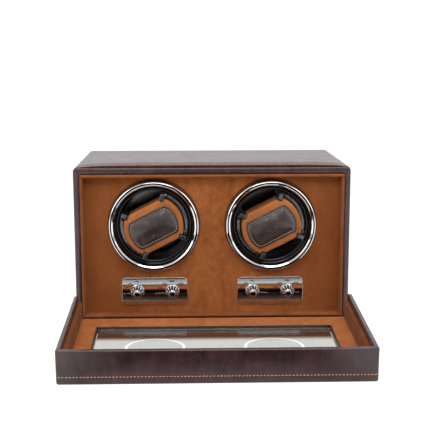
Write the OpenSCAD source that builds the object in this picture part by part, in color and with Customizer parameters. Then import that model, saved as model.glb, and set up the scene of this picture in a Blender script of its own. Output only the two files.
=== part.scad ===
// Two-rotor watch winder box with a drop-front lid. Millimetres.
// X runs to the right, Y from front to back, Z up. The origin is on the
// table, under the middle of the case's front face. The lid lies open.

/* [Case] */
// Width of the case
case_w = 310; // [290:1:340]
// Depth of the case, without the sill
case_d = 197; // [180:1:230]
// Height of the whole box
case_h = 181; // [176:1:200]
// Thickness of the side and top boards
board_t = 6; // [5:0.5:8]
// Thickness of the case's floor board
floor_t = 3.2; // [3:0.2:6]
// Thickness of the leather
leather_t = 1.4; // [1:0.1:1.8]
// Radius of the case's long outer corners
corner_r = 4; // [3:0.5:6]
// Radius of the leather's folded edges
edge_r = 2; // [1:0.1:2.2]

/* [Base] */
// Thickness of the felt under the base
felt_t = 1.5; // [1:0.5:3]
// Inset of the felt from the base's edge
felt_inset = 4; // [3:1:8]
// Thickness of the base board with its leather
base_t = 6.3; // [5:0.1:8]

/* [Collar and panel] */
// Thickness of the suede collar
collar_t = 3; // [2.5:0.5:4]
// How far the collar stands out of the case
collar_out = 6; // [4:0.5:8]
// Depth of the front panel behind the case's front face
panel_y = 8; // [6:0.5:12]
// Thickness of the front panel
panel_t = 6; // [4:0.5:8]

/* [Rotors] */
// Distance of each rotor from the middle
rotor_x = 66; // [60:0.5:72]
// Gap between a bezel and the collar above it
bezel_top_gap = 4.1; // [3:0.1:8]
// Gap between a bezel and the control plate under it
bezel_low_gap = 11; // [8:0.5:14]
// Width of the chrome bezel
bezel_w = 5.1; // [4:0.1:6]
// Thickness of the sleeve inside the bezel
sleeve_t = 2; // [1.5:0.1:2.4]
// Length of the sleeve
sleeve_l = 34; // [25:1:40]
// Gap between the sleeve and the turning cup
cup_gap = 1; // [0.6:0.1:1.5]
// Wall of the cup
cup_t = 2.4; // [1.8:0.1:3]
// Place of the cup's rim, behind the case's front face
cup_y = 5; // [4:0.5:8]
// Depth of the cup from rim to floor
cup_depth = 53; // [48:1:56]
// Thickness of the cup's floor
cup_floor_t = 3; // [2:0.5:4]
// Tilt of the cushions at rest
cuff_tilt = 27; // [0:1:45]

/* [Cushions] */
// Distance between the cushion's flat sides
cushion_w = 45; // [40:1:48]
// How far the cushion stands out of the case's front face
cushion_out = 12; // [8:1:14]
// Depth of the cushion
cushion_d = 42; // [36:1:46]
// Rounding of the cushion's edges
cushion_e = 3; // [2:0.5:4]
// Gap between a cushion and its holder
cushion_gap = 0.3; // [0.3:0.1:0.6]
// Width of the cushion's suede that shows beyond the patch's round ends
patch_in = 6.5; // [5:0.1:9]
// Distance between the patch's straight sides
patch_w = 32; // [28:1:36]
// Thickness of the patch
patch_t = 1.2; // [1:0.1:2]
// Wall of the holder's two arms
arm_t = 4.4; // [3:0.1:4.6]
// Half of the angle that each arm spans
arm_angle = 50; // [46:1:54]
// Gap between the arms and the cup's wall
arm_gap = 1.6; // [1:0.1:2]
// Thickness of the holder's base disc
holder_t = 3; // [2:0.5:4]

/* [Drive] */
// Tooth module of the gears
gear_m = 1; // [0.8:0.1:1]
// Teeth on each drive gear
gear_teeth = 60; // [48:1:60]
// Teeth on each pinion
pinion_teeth = 15; // [14:1:18]
// Extra distance between the gear centres
gear_play = 0.15; // [0.1:0.05:0.3]
// Thickness of the drive gear
gear_t = 6; // [4:0.5:8]
// Height of the hub behind the cup
hub_t = 3; // [2:0.5:4]
// Radius of the rotor shaft
shaft_r = 3; // [2.5:0.1:4]
// Running clearance of the shafts, in radius
run_gap = 0.05; // [0.03:0.01:0.08]
// End play between turning and fixed faces
end_gap = 0.4; // [0.3:0.1:0.8]
// Thickness of the mechanism plate
plate_t = 3; // [2:0.5:4]
// Wall of the bearing bushes
bush_t = 3; // [2:0.5:4]
// Length of the bearing bushes behind the plate
bush_l = 6; // [4:0.5:8]
// Radius of the gearbox on each motor
gearbox_r = 13; // [11:0.5:14]
// Length of the gearbox
gearbox_l = 18; // [14:1:22]
// Radius of the motor can
motor_r = 12; // [10:0.5:13]
// Length of the motor can
motor_l = 26; // [20:1:32]
// Radius of the motor's output shaft
motor_shaft_r = 2; // [1.5:0.1:2.5]
// Direction from a rotor to its motor, from the level line
motor_angle = 30; // [20:1:40]
// Radius of the standoff pillars
standoff_r = 4; // [3:0.5:5]

/* [Controls] */
// Width of a control plate
control_w = 75; // [70:1:80]
// Height of a control plate
control_h = 32; // [30:1:36]
// Corner radius of a control plate
control_r = 5; // [3:0.5:7]
// Thickness of a control plate
control_t = 1.2; // [1:0.1:2]
// Height of the knobs' axes
control_z = 38.5; // [36:0.5:42]
// Distance of each knob from its plate's middle
knob_x = 20; // [18:0.5:22]
// Radius of the knobs
knob_r = 8; // [7:0.25:8.5]
// Length of the knobs
knob_l = 13; // [10:0.5:15]
// Number of flutes round a knob
knob_flutes = 14; // [10:1:18]
// Radius of the switch spindles
spindle_r = 3; // [2.5:0.1:3]
// Side of the rotary switch housings
switch_w = 17; // [15:0.5:19]
// Depth of the rotary switch housings
switch_d = 12; // [10:0.5:14]
// Thickness of the circuit boards
pcb_t = 1.6; // [1.2:0.1:2]

/* [Lid] */
// How much narrower and lower the lid is on each side
lid_inset = 2; // [1:0.5:3]
// Depth of the lid
lid_d = 34.6; // [32:0.1:38]
// Radius of the lid's outer corners and edges
lid_edge_r = 4; // [2:0.5:5]
// Gap between the closed lid's rim and the case
rim_gap = 0.4; // [0.3:0.1:1]
// Width of the lid's leather rim
rim_w = 5; // [4.6:0.1:5.4]
// Thickness of the leather turned in behind the rim
turn_in_t = 0.8; // [0.6:0.1:1]
// Gap between the collar and the lid's lining
lining_gap = 0.5; // [0.4:0.1:1]
// Thickness of the board behind the lid's leather
lid_board_t = 5.5; // [5:0.1:7]
// Thickness of the suede lining on the lid's inner face
lining_t = 2; // [1.5:0.1:3]
// Width of the frame over and under the window
window_margin = 31.5; // [26:0.5:36]
// Width of the frame beside the window
window_side = 28; // [22:1:34]
// Thickness of the glass
glass_t = 3; // [2:0.5:4]
// How far the glass reaches under the frame
glass_lap = 5; // [4:0.5:7]
// Play round the glass
glass_play = 0.3; // [0.2:0.1:0.5]
// Width of the bead round the window
bead_w = 1.5; // [1:0.1:2.5]

/* [Hinge] */
// Gap under the closed lid
lid_gap = 0.8; // [0.6:0.1:1.2]
// Radius of the hinge pin
pin_r = 1; // [0.8:0.1:1.2]
// Wall of the hinge knuckles
knuckle_t = 0.95; // [0.8:0.05:1.2]
// Gap between the knuckles and the box
knuckle_gap = 0.35; // [0.3:0.05:0.6]
// Number of knuckles
knuckles = 15; // [9:2:21]
// Length of the hinge
hinge_l = 285; // [240:5:290]
// Thickness of the hinge leaves
leaf_t = 0.8; // [0.6:0.1:1]
// How far a leaf stands out of its recess
leaf_proud = 0.2; // [0.1:0.05:0.25]
// Width of the base's leaf
base_leaf_w = 11; // [9:0.5:14]
// Width of the lid's leaf
lid_leaf_w = 6.4; // [5:0.1:7]
// Number of screws in each leaf
leaf_screws = 6; // [4:1:8]
// Radius of the leaf screws' shanks
leaf_screw_r = 0.9; // [0.8:0.05:1.1]

/* [Back] */
// Thickness of the back cover
back_t = 4; // [3:0.5:6]
// How far the back cover lies inside the rear edge
back_in = 2; // [1:0.5:4]
// Play round the back cover
back_gap = 0.4; // [0.2:0.1:1]
// Side of the corner blocks that hold the back cover
block_w = 14; // [12:1:18]
// Length of the corner blocks
block_l = 24; // [18:1:30]
// Number of vent slots
vents = 9; // [5:1:13]
// Radius of the power inlet's socket
inlet_r = 2.8; // [2.6:0.1:3.2]

/* [Hidden] */

$fn = 64;
eps = 0.01;
left = -1;
right = 1;

// Colours
leather_c = [0.24, 0.19, 0.19];
suede_c = [0.62, 0.37, 0.22];
board_c = [0.72, 0.60, 0.44];
chrome_c = [0.85, 0.86, 0.88];
black_c = [0.08, 0.08, 0.09];
steel_c = [0.62, 0.63, 0.65];
nylon_c = [0.90, 0.89, 0.84];

// Case
sill_z = felt_t + base_t;
wall_t = board_t + leather_t;
half_w = case_w / 2;
in_x = half_w - wall_t;
in_z0 = sill_z + floor_t;
in_z1 = case_h - wall_t;
sill_y = -(rim_gap + lid_d);
collar_x = in_x - collar_t;
collar_lip_r = collar_t / 2;

// Rotor stack, from front to back; the bezel fills the height left over the controls
bezel_top = in_z1 - collar_t - bezel_top_gap;
bezel_r = (bezel_top - (control_z + control_h / 2 + bezel_low_gap)) / 2;
rotor_z = bezel_top - bezel_r;
bezel_in_r = bezel_r - bezel_w;
sleeve_in_r = bezel_in_r - sleeve_t;
cup_r = sleeve_in_r - cup_gap;
cup_in_r = cup_r - cup_t;
floor_y = cup_y + cup_depth;
cup_back_y = floor_y + cup_floor_t;
gear_y = cup_back_y + hub_t;
gear_back_y = gear_y + gear_t;
bush_flange_t = 1.6;
plate_y = gear_back_y + end_gap + bush_flange_t;
plate_back_y = plate_y + plate_t;
bush_r = shaft_r + run_gap + bush_t;
shaft_end_y = plate_back_y + bush_l + end_gap;
clip_t = 1;
clip_r = shaft_r + 2;
hub_r = shaft_r + 5;

// Cushion and its holder
arm_out_r = cup_in_r - arm_gap;
arm_in_r = arm_out_r - arm_t;
cushion_r = arm_in_r - cushion_gap;
patch_r = cushion_r - patch_in;
holder_y = floor_y - holder_t;
arm_front_y = cup_y - 2;
tab_angle = 6;
tab_w = 4;
cushion_front_y = -cushion_out;
cushion_back_y = cushion_front_y + cushion_d;

// Gears
gear_pr = gear_m * gear_teeth / 2;
pinion_pr = gear_m * pinion_teeth / 2;
centre_d = gear_pr + pinion_pr + gear_play;
pressure = 20;
tooth_slack = 0.12;
addendum = 0.9;
dedendum = 1.2;
pinion_side = 0.5;
motor_bore_l = 11;
motor_boss_r = motor_shaft_r + 2;
motor_boss_l = plate_t + bush_flange_t - 1;
motor_hole_gap = 0.5;

// Mechanism plate
plate_side = 29;
plate_x = half_w - plate_side;
plate_z0 = control_z + control_h / 2 + 5.5;
plate_z1 = case_h - 13;
pillar_x = plate_x - 8;
pillar_in = 8;
plate_screw_r = 1.5;
plate_screw_l = 8;
plate_screw_head_r = 3;
plate_screw_head_t = 2;
pillars = [for (x = [-pillar_x, 0, pillar_x], z = [plate_z0 + pillar_in, plate_z1 - pillar_in]) [x, z]];

// Controls
control_front_y = panel_y - control_t;
bushing_r = spindle_r + 1.2;
bushing_gap = 0.15;
switch_y = panel_y + panel_t;
switch_back_y = switch_y + switch_d;
nut_t = 1.6;
nut_r = bushing_r + 1.6;
bushing_y = control_front_y - nut_t - 0.6;
knob_gap = 0.5;
knob_y = control_front_y - knob_gap;
knob_hollow_r = nut_r + 0.6;
knob_hollow_l = knob_y - bushing_y + 0.6;
spindle_end_y = switch_back_y - 4;
flute_r = 1;
pcb_w = control_w - 4;
pcb_h = control_h - 3;
chip_w = 9;
chip_t = 3;
chip_h = 6;
chip_step = 12;
chip_z = -9;
plug_w = 12;
plug_t = 7;
plug_h = 6.5;
plug_in = 2;
plug_low = 1.5;
cap_r = 3;
cap_l = 9;
cap_x = 20;
cap_step = 8;
cap_z = -9.5;
pin_in = 2;
pin_step = 5;

// Lid, drawn closed and then laid open
lid_x = half_w - lid_inset;
lid_z0 = sill_z + lid_gap;
lid_z1 = case_h - lid_inset;
rim_x = lid_x - rim_w;
rim_z = lid_z1 - rim_w;
lid_y0 = sill_y;
lid_y1 = -rim_gap;
panel_out_y = lid_y0 + leather_t;
panel_in_y = panel_out_y + lid_board_t;
lining_y = panel_in_y + lining_t;
turn_in_y = -(collar_out + lining_gap);
window_x = lid_x - window_side;
window_z0 = lid_z0 + window_margin;
window_z1 = lid_z1 - window_margin;
bead_play = 0.02;
glass_y = panel_in_y - glass_t;

// Hinge
knuckle_r = pin_r + run_gap + knuckle_t;
axis_y = lid_y0 - knuckle_gap - knuckle_r;
axis_z = sill_z + lid_gap / 2;
knuckle_space = 0.35;
knuckle_l = hinge_l / knuckles;
leaf_y0 = axis_y + knuckle_r + knuckle_gap;
leaf_screw_l = 3.4;
leaf_screw_head_r = leaf_screw_r * 1.9;
leaf_screw_step = hinge_l / leaf_screws;
base_leaf_z = sill_z - leaf_t + leaf_proud;
lid_leaf_z = lid_z0 - leaf_proud;

// The open lid rests with its far edge on the table
arm_up = lid_y0 - axis_y + lid_edge_r;
arm_out = lid_z1 - lid_edge_r - axis_z;
open_angle = 90 + acos((lid_edge_r - axis_z) / norm([arm_up, arm_out])) - atan2(arm_out, arm_up);

// Back
back_y1 = case_d - leather_t - back_in;
back_y0 = back_y1 - back_t;
back_screw_r = 1.6;
back_screw_head_r = 3.2;
back_screw_head_t = 1.8;
back_screw_l = 12;
vent_w = 3;
vent_l = 36;
vent_step = 9;
vent_x = rotor_x + 4;
vent_z = rotor_z + 4;
inlet_x = half_w - 50;
inlet_z = in_z0 + 23;
inlet_body_r = inlet_r + 2.4;
inlet_flange_r = inlet_body_r + 2.4;
inlet_flange_t = 1.4;
inlet_l = 14;
inlet_pin_r = 1;
magnet_r = 2.5;
magnet_l = 4;
magnet_x = 100;
strike_l = 20;
strike_t = 2;
strike_w = 3;

// ---------- shared shapes ----------

// Turns a shape that stands along Z so that it runs along Y
module along_y() {
    rotate([-90, 0, 0]) children();
}

// Round bar between two places along Y
module rod(r, y0, y1) {
    translate([0, y0, 0]) along_y() cylinder(r = r, h = y1 - y0);
}

// Pipe between two places along Y
module pipe(r_out, r_in, y0, y1) {
    difference() {
        rod(r_out, y0, y1);
        rod(r_in, y0 - eps, y1 + eps);
    }
}

// Extrudes an outline drawn in front view, between two places along Y
module slab(y0, y1) {
    translate([0, y1, 0]) rotate([90, 0, 0]) linear_extrude(y1 - y0) children();
}

// Box between two corners
module block(low, high) {
    translate(low) cube(high - low);
}

// Post with rounded ends, standing on Z = 0; e0 and e1 are the radii at its two ends
module soft_post(r, e0, e1, h) {
    low = [for (a = [-90 : 22.5 : 0]) [r - e0 + e0 * cos(a), e0 + e0 * sin(a)]];
    high = [for (a = [0 : 22.5 : 90]) [r - e1 + e1 * cos(a), h - e1 + e1 * sin(a)]];
    rotate_extrude($fn = 32) polygon(concat([[0, 0]], low, high, [[0, h]]));
}

// Box with round corners seen from the front and folded edges
module soft_box(x, z0, z1, y0, y1, r, e0, e1) {
    hull() for (sx = [left, right], z = [z0 + r, z1 - r])
        translate([sx * (x - r), y0, z]) along_y() soft_post(r, e0, e1, y1 - y0);
}

// Plate with round corners seen from above and folded edges
module soft_plate(x, y0, y1, z0, z1, r, e) {
    hull() for (sx = [left, right], y = [y0 + r, y1 - r])
        translate([sx * (x - r), y, z0]) soft_post(r, e, e, z1 - z0);
}

// Rectangle with round corners, about its middle
module round_rect(w, h, r) {
    square([w - 2 * r, h], center = true);
    square([w, h - 2 * r], center = true);
    for (sx = [-1, 1], sz = [-1, 1])
        translate([sx * (w / 2 - r), sz * (h / 2 - r)]) circle(r);
}

// Slotted hole or bar with round ends, standing upright
module slot_outline(w, l) {
    square([w, l - w], center = true);
    for (s = [-1, 1]) translate([0, s * (l - w) / 2]) circle(w / 2, $fn = 32);
}

module at_rotor(side) {
    translate([side * rotor_x, 0, rotor_z]) children();
}

module at_motor(side) {
    at_rotor(side) rotate([0, -motor_dir(side), 0]) translate([centre_d, 0, 0]) children();
}

module at_controls(side) {
    translate([side * rotor_x, 0, control_z]) children();
}

module at_knob(side, place) {
    at_controls(side) translate([place * knob_x, 0, 0]) children();
}

module lay_open() {
    translate([0, axis_y, axis_z]) rotate([open_angle, 0, 0]) translate([0, -axis_y, -axis_z]) children();
}

// Direction from a rotor to its motor in front view; both motors lie inward and up
function motor_dir(side) = side == left ? motor_angle : 180 - motor_angle;

// ---------- gears ----------

// Angle that an involute has swept where it crosses radius r
function swept(r, base_r) =
    let (a = acos(min(1, base_r / r))) tan(a) * 180 / PI - a;

// Half of the tooth's angle at radius r
function half_tooth(r, teeth) =
    let (pr = gear_m * teeth / 2, base_r = pr * cos(pressure))
    90 / teeth - tooth_slack * 90 / PI / pr + swept(pr, base_r) - swept(max(r, base_r), base_r);

// Outline of one gear with a tooth centred on angle 0
module gear_outline(teeth) {
    pr = gear_m * teeth / 2;
    root = pr - dedendum * gear_m;
    tip = pr + addendum * gear_m;
    rs = [root, pr - 0.4 * gear_m, pr + 0.25 * gear_m, tip];
    points = [
        for (i = [0 : teeth - 1])
            let (mid = i * 360 / teeth)
            for (flank = [-1, 1], k = [0 : len(rs) - 1])
                let (r = flank < 0 ? rs[k] : rs[len(rs) - 1 - k])
                [r * cos(mid + flank * half_tooth(r, teeth)), r * sin(mid + flank * half_tooth(r, teeth))]
    ];
    polygon(points);
}

// ---------- base and case ----------

module base_felt() {
    color([0.16, 0.13, 0.12])
    translate([0, (sill_y + case_d) / 2, 0]) linear_extrude(felt_t)
        round_rect(case_w - 2 * felt_inset, case_d - sill_y - 2 * felt_inset, corner_r);
}

module leaf_screw_places() {
    for (i = [0 : leaf_screws - 1])
        translate([(i + 0.5) * leaf_screw_step - hinge_l / 2, 0, 0]) children();
}

module base_screw_axis() {
    leaf_screw_places() translate([0, leaf_y0 + base_leaf_w / 2, base_leaf_z + leaf_t]) children();
}

module base_board() {
    color(leather_c)
    difference() {
        soft_plate(half_w, sill_y, case_d, felt_t, sill_z, corner_r, edge_r);
        block([-hinge_l / 2 - knuckle_gap, sill_y - eps, base_leaf_z],
              [hinge_l / 2 + knuckle_gap, leaf_y0 + base_leaf_w + knuckle_gap, sill_z + eps]);
        base_screw_axis() translate([0, 0, -leaf_screw_l - 1]) cylinder(r = leaf_screw_r, h = leaf_screw_l + 1, $fn = 24);
    }
}

// Outline of the case's board box, seen from the front
module carcass_outline() {
    r = corner_r - leather_t;
    translate([0, (sill_z + case_h - leather_t) / 2])
        square([case_w - 2 * leather_t, case_h - leather_t - sill_z - 2 * r], center = true);
    translate([0, (sill_z + case_h - leather_t - r) / 2])
        square([case_w - 2 * leather_t, case_h - leather_t - r - sill_z], center = true);
    translate([0, (sill_z + case_h - leather_t) / 2])
        square([case_w - 2 * leather_t - 2 * r, case_h - leather_t - sill_z], center = true);
    for (sx = [left, right])
        translate([sx * (half_w - leather_t - r), case_h - leather_t - r]) circle(r);
}

module case_room() {
    translate([0, (in_z0 + in_z1) / 2]) square([2 * in_x, in_z1 - in_z0], center = true);
}

module at_block_centres() {
    for (sx = [left, right], z = [in_z0 + block_w / 2, in_z1 - block_w / 2])
        translate([sx * (in_x - block_w / 2), 0, z]) children();
}

module case_carcass() {
    color(board_c) {
        difference() {
            slab(leather_t, case_d - leather_t) carcass_outline();
            slab(0, case_d) case_room();
            for (sx = [left, right])
                translate([sx * magnet_x, 0, case_h - leather_t - board_t / 2]) rod(magnet_r, 0, leather_t + magnet_l);
        }
        at_block_centres() difference() {
            block([-block_w / 2, back_y0 - block_l, -block_w / 2], [block_w / 2, back_y0, block_w / 2]);
            rod(back_screw_r, back_y0 - back_screw_l - 1, back_y0 + eps);
        }
    }
}

module case_leather() {
    color(leather_c)
    difference() {
        soft_box(half_w, sill_z - corner_r, case_h, 0, case_d, corner_r, edge_r, edge_r);
        slab(leather_t, case_d - leather_t) carcass_outline();
        slab(-1, case_d + 1) case_room();
        block([-case_w, -1, sill_z - 2 * corner_r], [case_w, case_d + 1, sill_z]);
    }
}

// Suede frame round the panel, with a rounded lip in front
module collar() {
    cx = in_x - collar_lip_r;
    z0 = in_z0 + collar_lip_r;
    z1 = in_z1 - collar_lip_r;
    lip_y = collar_lip_r - collar_out;
    color(suede_c) {
        difference() {
            slab(lip_y, panel_y) case_room();
            slab(lip_y - 1, panel_y + 1) translate([0, (in_z0 + in_z1) / 2])
                square([2 * collar_x, in_z1 - in_z0 - 2 * collar_t], center = true);
        }
        for (sx = [left, right])
            translate([sx * cx, lip_y, z0]) cylinder(r = collar_lip_r, h = z1 - z0, $fn = 32);
        for (z = [z0, z1])
            translate([-cx, lip_y, z]) rotate([0, 90, 0]) cylinder(r = collar_lip_r, h = 2 * cx, $fn = 32);
        for (sx = [left, right], z = [z0, z1])
            translate([sx * cx, lip_y, z]) sphere(r = collar_lip_r, $fn = 32);
    }
}

module front_panel() {
    color(suede_c)
    difference() {
        slab(panel_y, panel_y + panel_t) case_room();
        for (side = [left, right]) {
            at_rotor(side) rod(bezel_in_r, panel_y - 1, panel_y + panel_t + 1);
            for (place = [left, right])
                at_knob(side, place) rod(bushing_r + bushing_gap, panel_y - 1, panel_y + panel_t + 1);
        }
    }
}

module bezel(side) {
    ring_r = bezel_w / 2;
    color(chrome_c)
    at_rotor(side) along_y() rotate_extrude($fn = 96) difference() {
        union() {
            translate([bezel_in_r, panel_y - ring_r]) square([bezel_w, ring_r]);
            translate([bezel_r - ring_r, panel_y - ring_r]) circle(ring_r, $fn = 48);
        }
        translate([bezel_in_r, panel_y]) square([bezel_w, ring_r]);
    }
}

module bezel_sleeve(side) {
    front = panel_y - bezel_w / 2;
    color(black_c)
    at_rotor(side) difference() {
        pipe(bezel_in_r, sleeve_in_r, front, front + sleeve_l, $fn = 96);
        translate([0, front - eps, 0]) along_y()
            cylinder(r1 = bezel_in_r - 0.4, r2 = sleeve_in_r, h = 1.2, $fn = 96);
    }
}

// ---------- controls ----------

module control_plate(side) {
    color(chrome_c)
    difference() {
        at_controls(side) slab(control_front_y, panel_y) round_rect(control_w, control_h, control_r);
        for (place = [left, right])
            at_knob(side, place) rod(bushing_r + bushing_gap, control_front_y - 1, panel_y + 1);
    }
}

module at_switch_pins() {
    for (s = [-1, 1], k = [-1 : 1]) translate([s * (switch_w / 2 - pin_in), 0, k * pin_step]) children();
}

// Two rotary switches, each with its threaded bushing and nut
module switches(side) {
    for (place = [left, right]) at_knob(side, place) {
        color([0.12, 0.20, 0.32]) difference() {
            slab(switch_y, switch_back_y) round_rect(switch_w, switch_w, 1.5);
            rod(spindle_r + run_gap, switch_y - eps, switch_back_y - 2);
        }
        color(steel_c) pipe(bushing_r, spindle_r + run_gap, bushing_y, switch_y);
        color(steel_c) difference() {
            slab(control_front_y - nut_t, control_front_y) circle(nut_r, $fn = 6);
            rod(bushing_r + run_gap, control_front_y - nut_t - 1, control_front_y + 1);
        }
        color(steel_c) at_switch_pins() rod(0.5, switch_back_y, switch_back_y + pcb_t + 1);
    }
}

module circuit_board(side) {
    color([0.10, 0.32, 0.18])
    difference() {
        at_controls(side) slab(switch_back_y, switch_back_y + pcb_t) square([pcb_w, pcb_h], center = true);
        for (place = [left, right])
            at_knob(side, place) at_switch_pins() rod(0.6, switch_back_y - 1, switch_back_y + pcb_t + 1);
    }
    at_controls(side) translate([0, switch_back_y + pcb_t, 0]) {
        color(black_c) for (z = [chip_z, chip_z + chip_step])
            block([-chip_w / 2, 0, z], [chip_w / 2, chip_t, z + chip_h]);
        color(nylon_c) translate([plug_in - pcb_w / 2, 0, plug_low - pcb_h / 2]) cube([plug_w, plug_t, plug_h]);
        color(steel_c) for (x = [cap_x, cap_x + cap_step]) translate([x, 0, cap_z]) rod(cap_r, 0, cap_l);
    }
}

module knob(side, place) {
    dome = 1.8;
    flange_t = 1.6;
    body_r = knob_r - 0.5;
    nose_r = knob_r - 1.6;
    profile = concat(
        [[0, -knob_l]],
        [for (a = [0 : 18 : 90]) [nose_r - dome + dome * sin(a), dome - knob_l - dome * cos(a)]],
        [[body_r, -flange_t], [knob_r, -flange_t], [knob_r, 0], [0, 0]]
    );
    color(chrome_c)
    at_knob(side, place) {
        difference() {
            translate([0, knob_y, 0]) along_y() rotate_extrude() polygon(profile);
            rod(knob_hollow_r, knob_y - knob_hollow_l, knob_y + eps);
            for (i = [0 : knob_flutes - 1]) rotate([0, i * 360 / knob_flutes, 0])
                translate([knob_r - 0.1, 0, 0]) rod(flute_r, knob_y - knob_l - 1, knob_y - flange_t - 0.5);
        }
        rod(spindle_r, knob_y - knob_hollow_l - 1, spindle_end_y);
    }
}

// ---------- rotor ----------

module cup(side) {
    lip = cup_t / 2;
    color(black_c)
    at_rotor(side) {
        difference() {
            rod(cup_r, cup_y + lip, cup_back_y);
            rod(cup_in_r, cup_y, floor_y);
            rod(shaft_r, floor_y - 1, cup_back_y + 1);
        }
        along_y() rotate_extrude($fn = 96) translate([cup_r - lip, cup_y + lip]) circle(lip, $fn = 32);
        pipe(hub_r, shaft_r, cup_back_y, gear_y);
    }
}

// Disc with two curved arms that grip the cushion's round ends
module cuff_holder(side) {
    tab_in_r = arm_in_r - 0.8;
    tab_out_r = arm_out_r - 0.3;
    tab_front_y = arm_front_y - 2;
    hub_in_r = shaft_r + 3;
    wall = [[hub_in_r, holder_y], [arm_in_r, holder_y], [arm_in_r, arm_front_y + 1], [arm_in_r + 1, arm_front_y],
            [arm_out_r - 1, arm_front_y], [arm_out_r, arm_front_y + 1], [arm_out_r, floor_y], [hub_in_r, floor_y]];
    strap_way = [[0, 0], for (a = [arm_angle, 180 - arm_angle]) 2 * arm_out_r * [cos(a), sin(a)]];
    color(black_c)
    at_rotor(side) rotate([0, -cuff_tilt, 0]) {
        difference() {
            along_y() rotate_extrude($fn = 96) polygon(wall);
            for (turn = [0, 180]) rotate([0, turn, 0]) {
                slab(arm_front_y - 1, holder_y) polygon(strap_way);
                block([arm_in_r - 2, holder_y - 22, -6], [arm_out_r + 2, holder_y - 12, 6]);
            }
        }
        for (turn = [0, 180], s = [-1, 1]) rotate([0, turn + s * (arm_angle - tab_angle / 2), 0])
            block([tab_in_r, tab_front_y, -tab_w / 2], [tab_out_r, arm_front_y + 8, tab_w / 2]);
    }
}

module drive_gear(side) {
    color(nylon_c)
    at_rotor(side) difference() {
        slab(gear_y, gear_back_y) rotate(motor_dir(side)) gear_outline(gear_teeth);
        rod(shaft_r, gear_y - 1, gear_back_y + 1);
        for (i = [0 : 5]) rotate([0, i * 60 + 30, 0])
            translate([gear_pr * 0.6, 0, 0]) rod(gear_pr * 0.22, gear_y - 1, gear_back_y + 1);
    }
}

module rotor_shaft(side) {
    color(steel_c)
    at_rotor(side) {
        rod(shaft_r, floor_y, shaft_end_y + clip_t + 1);
        rod(clip_r, shaft_end_y, shaft_end_y + clip_t);
    }
}

// Points of an outline shrunk from the cushion's round-ended shape
module cuff_outline(r, w, inset) {
    intersection() {
        circle(r - inset, $fn = 72);
        square([2 * r, w - 2 * inset], center = true);
    }
}

// Round-ended pad, rounded at its front and rear edges
module cushion(side) {
    e = cushion_e;
    layers = [for (a = [0 : 30 : 90]) [e * (1 - sin(a)), e * (1 - cos(a))]];
    color(suede_c)
    at_rotor(side) rotate([0, -cuff_tilt, 0]) hull() for (l = layers) {
        slab(cushion_front_y + l[0], cushion_back_y - l[0]) cuff_outline(cushion_r, cushion_w, l[1]);
    }
}

module cushion_patch(side) {
    color(leather_c)
    at_rotor(side) rotate([0, -cuff_tilt, 0])
        slab(cushion_front_y - patch_t, cushion_front_y) cuff_outline(patch_r, patch_w, 0);
}

// ---------- drive ----------

module mechanism_plate() {
    color(steel_c)
    difference() {
        block([-plate_x, plate_y, plate_z0], [plate_x, plate_back_y, plate_z1]);
        for (side = [left, right]) {
            at_rotor(side) rod(bush_r, plate_y - 1, plate_back_y + 1);
            at_motor(side) rod(motor_boss_r + motor_hole_gap, plate_y - 1, plate_back_y + 1);
        }
        for (p = pillars) translate([p[0], 0, p[1]]) rod(plate_screw_r, plate_y - 1, plate_back_y + 1);
    }
}

module standoffs() {
    color([0.75, 0.66, 0.35])
    for (p = pillars) translate([p[0], 0, p[1]]) difference() {
        slab(panel_y + panel_t, plate_y) circle(standoff_r, $fn = 6);
        rod(plate_screw_r, plate_y - plate_screw_l - 1, plate_y + eps);
    }
}

module plate_screws() {
    color(steel_c)
    for (p = pillars) translate([p[0], 0, p[1]]) {
        rod(plate_screw_r, plate_y - plate_screw_l, plate_back_y);
        difference() {
            rod(plate_screw_head_r, plate_back_y, plate_back_y + plate_screw_head_t);
            rod(plate_screw_head_r / 2.4, plate_back_y + 0.8, plate_back_y + plate_screw_head_t + 1);
        }
    }
}

module bearing(side) {
    color([0.72, 0.55, 0.28])
    at_rotor(side) difference() {
        union() {
            rod(bush_r + 2, plate_y - bush_flange_t, plate_y);
            rod(bush_r, plate_y, plate_back_y + bush_l);
        }
        rod(shaft_r + run_gap, plate_y - 3, plate_back_y + bush_l + 1);
    }
}

module gear_motor(side) {
    gearbox_back = plate_back_y + gearbox_l;
    can_back = gearbox_back + motor_l;
    color(steel_c)
    at_motor(side) difference() {
        union() {
            rod(motor_boss_r, plate_back_y - motor_boss_l, plate_back_y);
            rod(gearbox_r, plate_back_y, gearbox_back);
            rod(motor_r, gearbox_back, can_back);
            rod(motor_r / 3, can_back, can_back + 2);
        }
        rod(motor_shaft_r + run_gap, plate_back_y - motor_boss_l - 1, plate_back_y + motor_bore_l);
    }
    color([0.72, 0.55, 0.28]) at_motor(side)
        for (s = [-1, 1]) translate([s * motor_r * 0.6, 0, 0]) rod(1.2, can_back, can_back + 5);
}

// The pinion's tooth gap faces the drive gear's tooth
module pinion(side) {
    turn = motor_dir(side) + 180 + 180 / pinion_teeth;
    color([0.72, 0.55, 0.28])
    at_motor(side) rotate([0, motor_dir(side), 0]) difference() {
        slab(gear_y - pinion_side, gear_back_y + pinion_side) rotate(turn) gear_outline(pinion_teeth);
        rod(motor_shaft_r, gear_y - 2, gear_back_y + 2);
    }
}

module motor_shaft(side) {
    color(steel_c)
    at_motor(side) rod(motor_shaft_r, gear_y - pinion_side, plate_back_y + motor_bore_l - 1);
}

// ---------- back ----------

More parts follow.
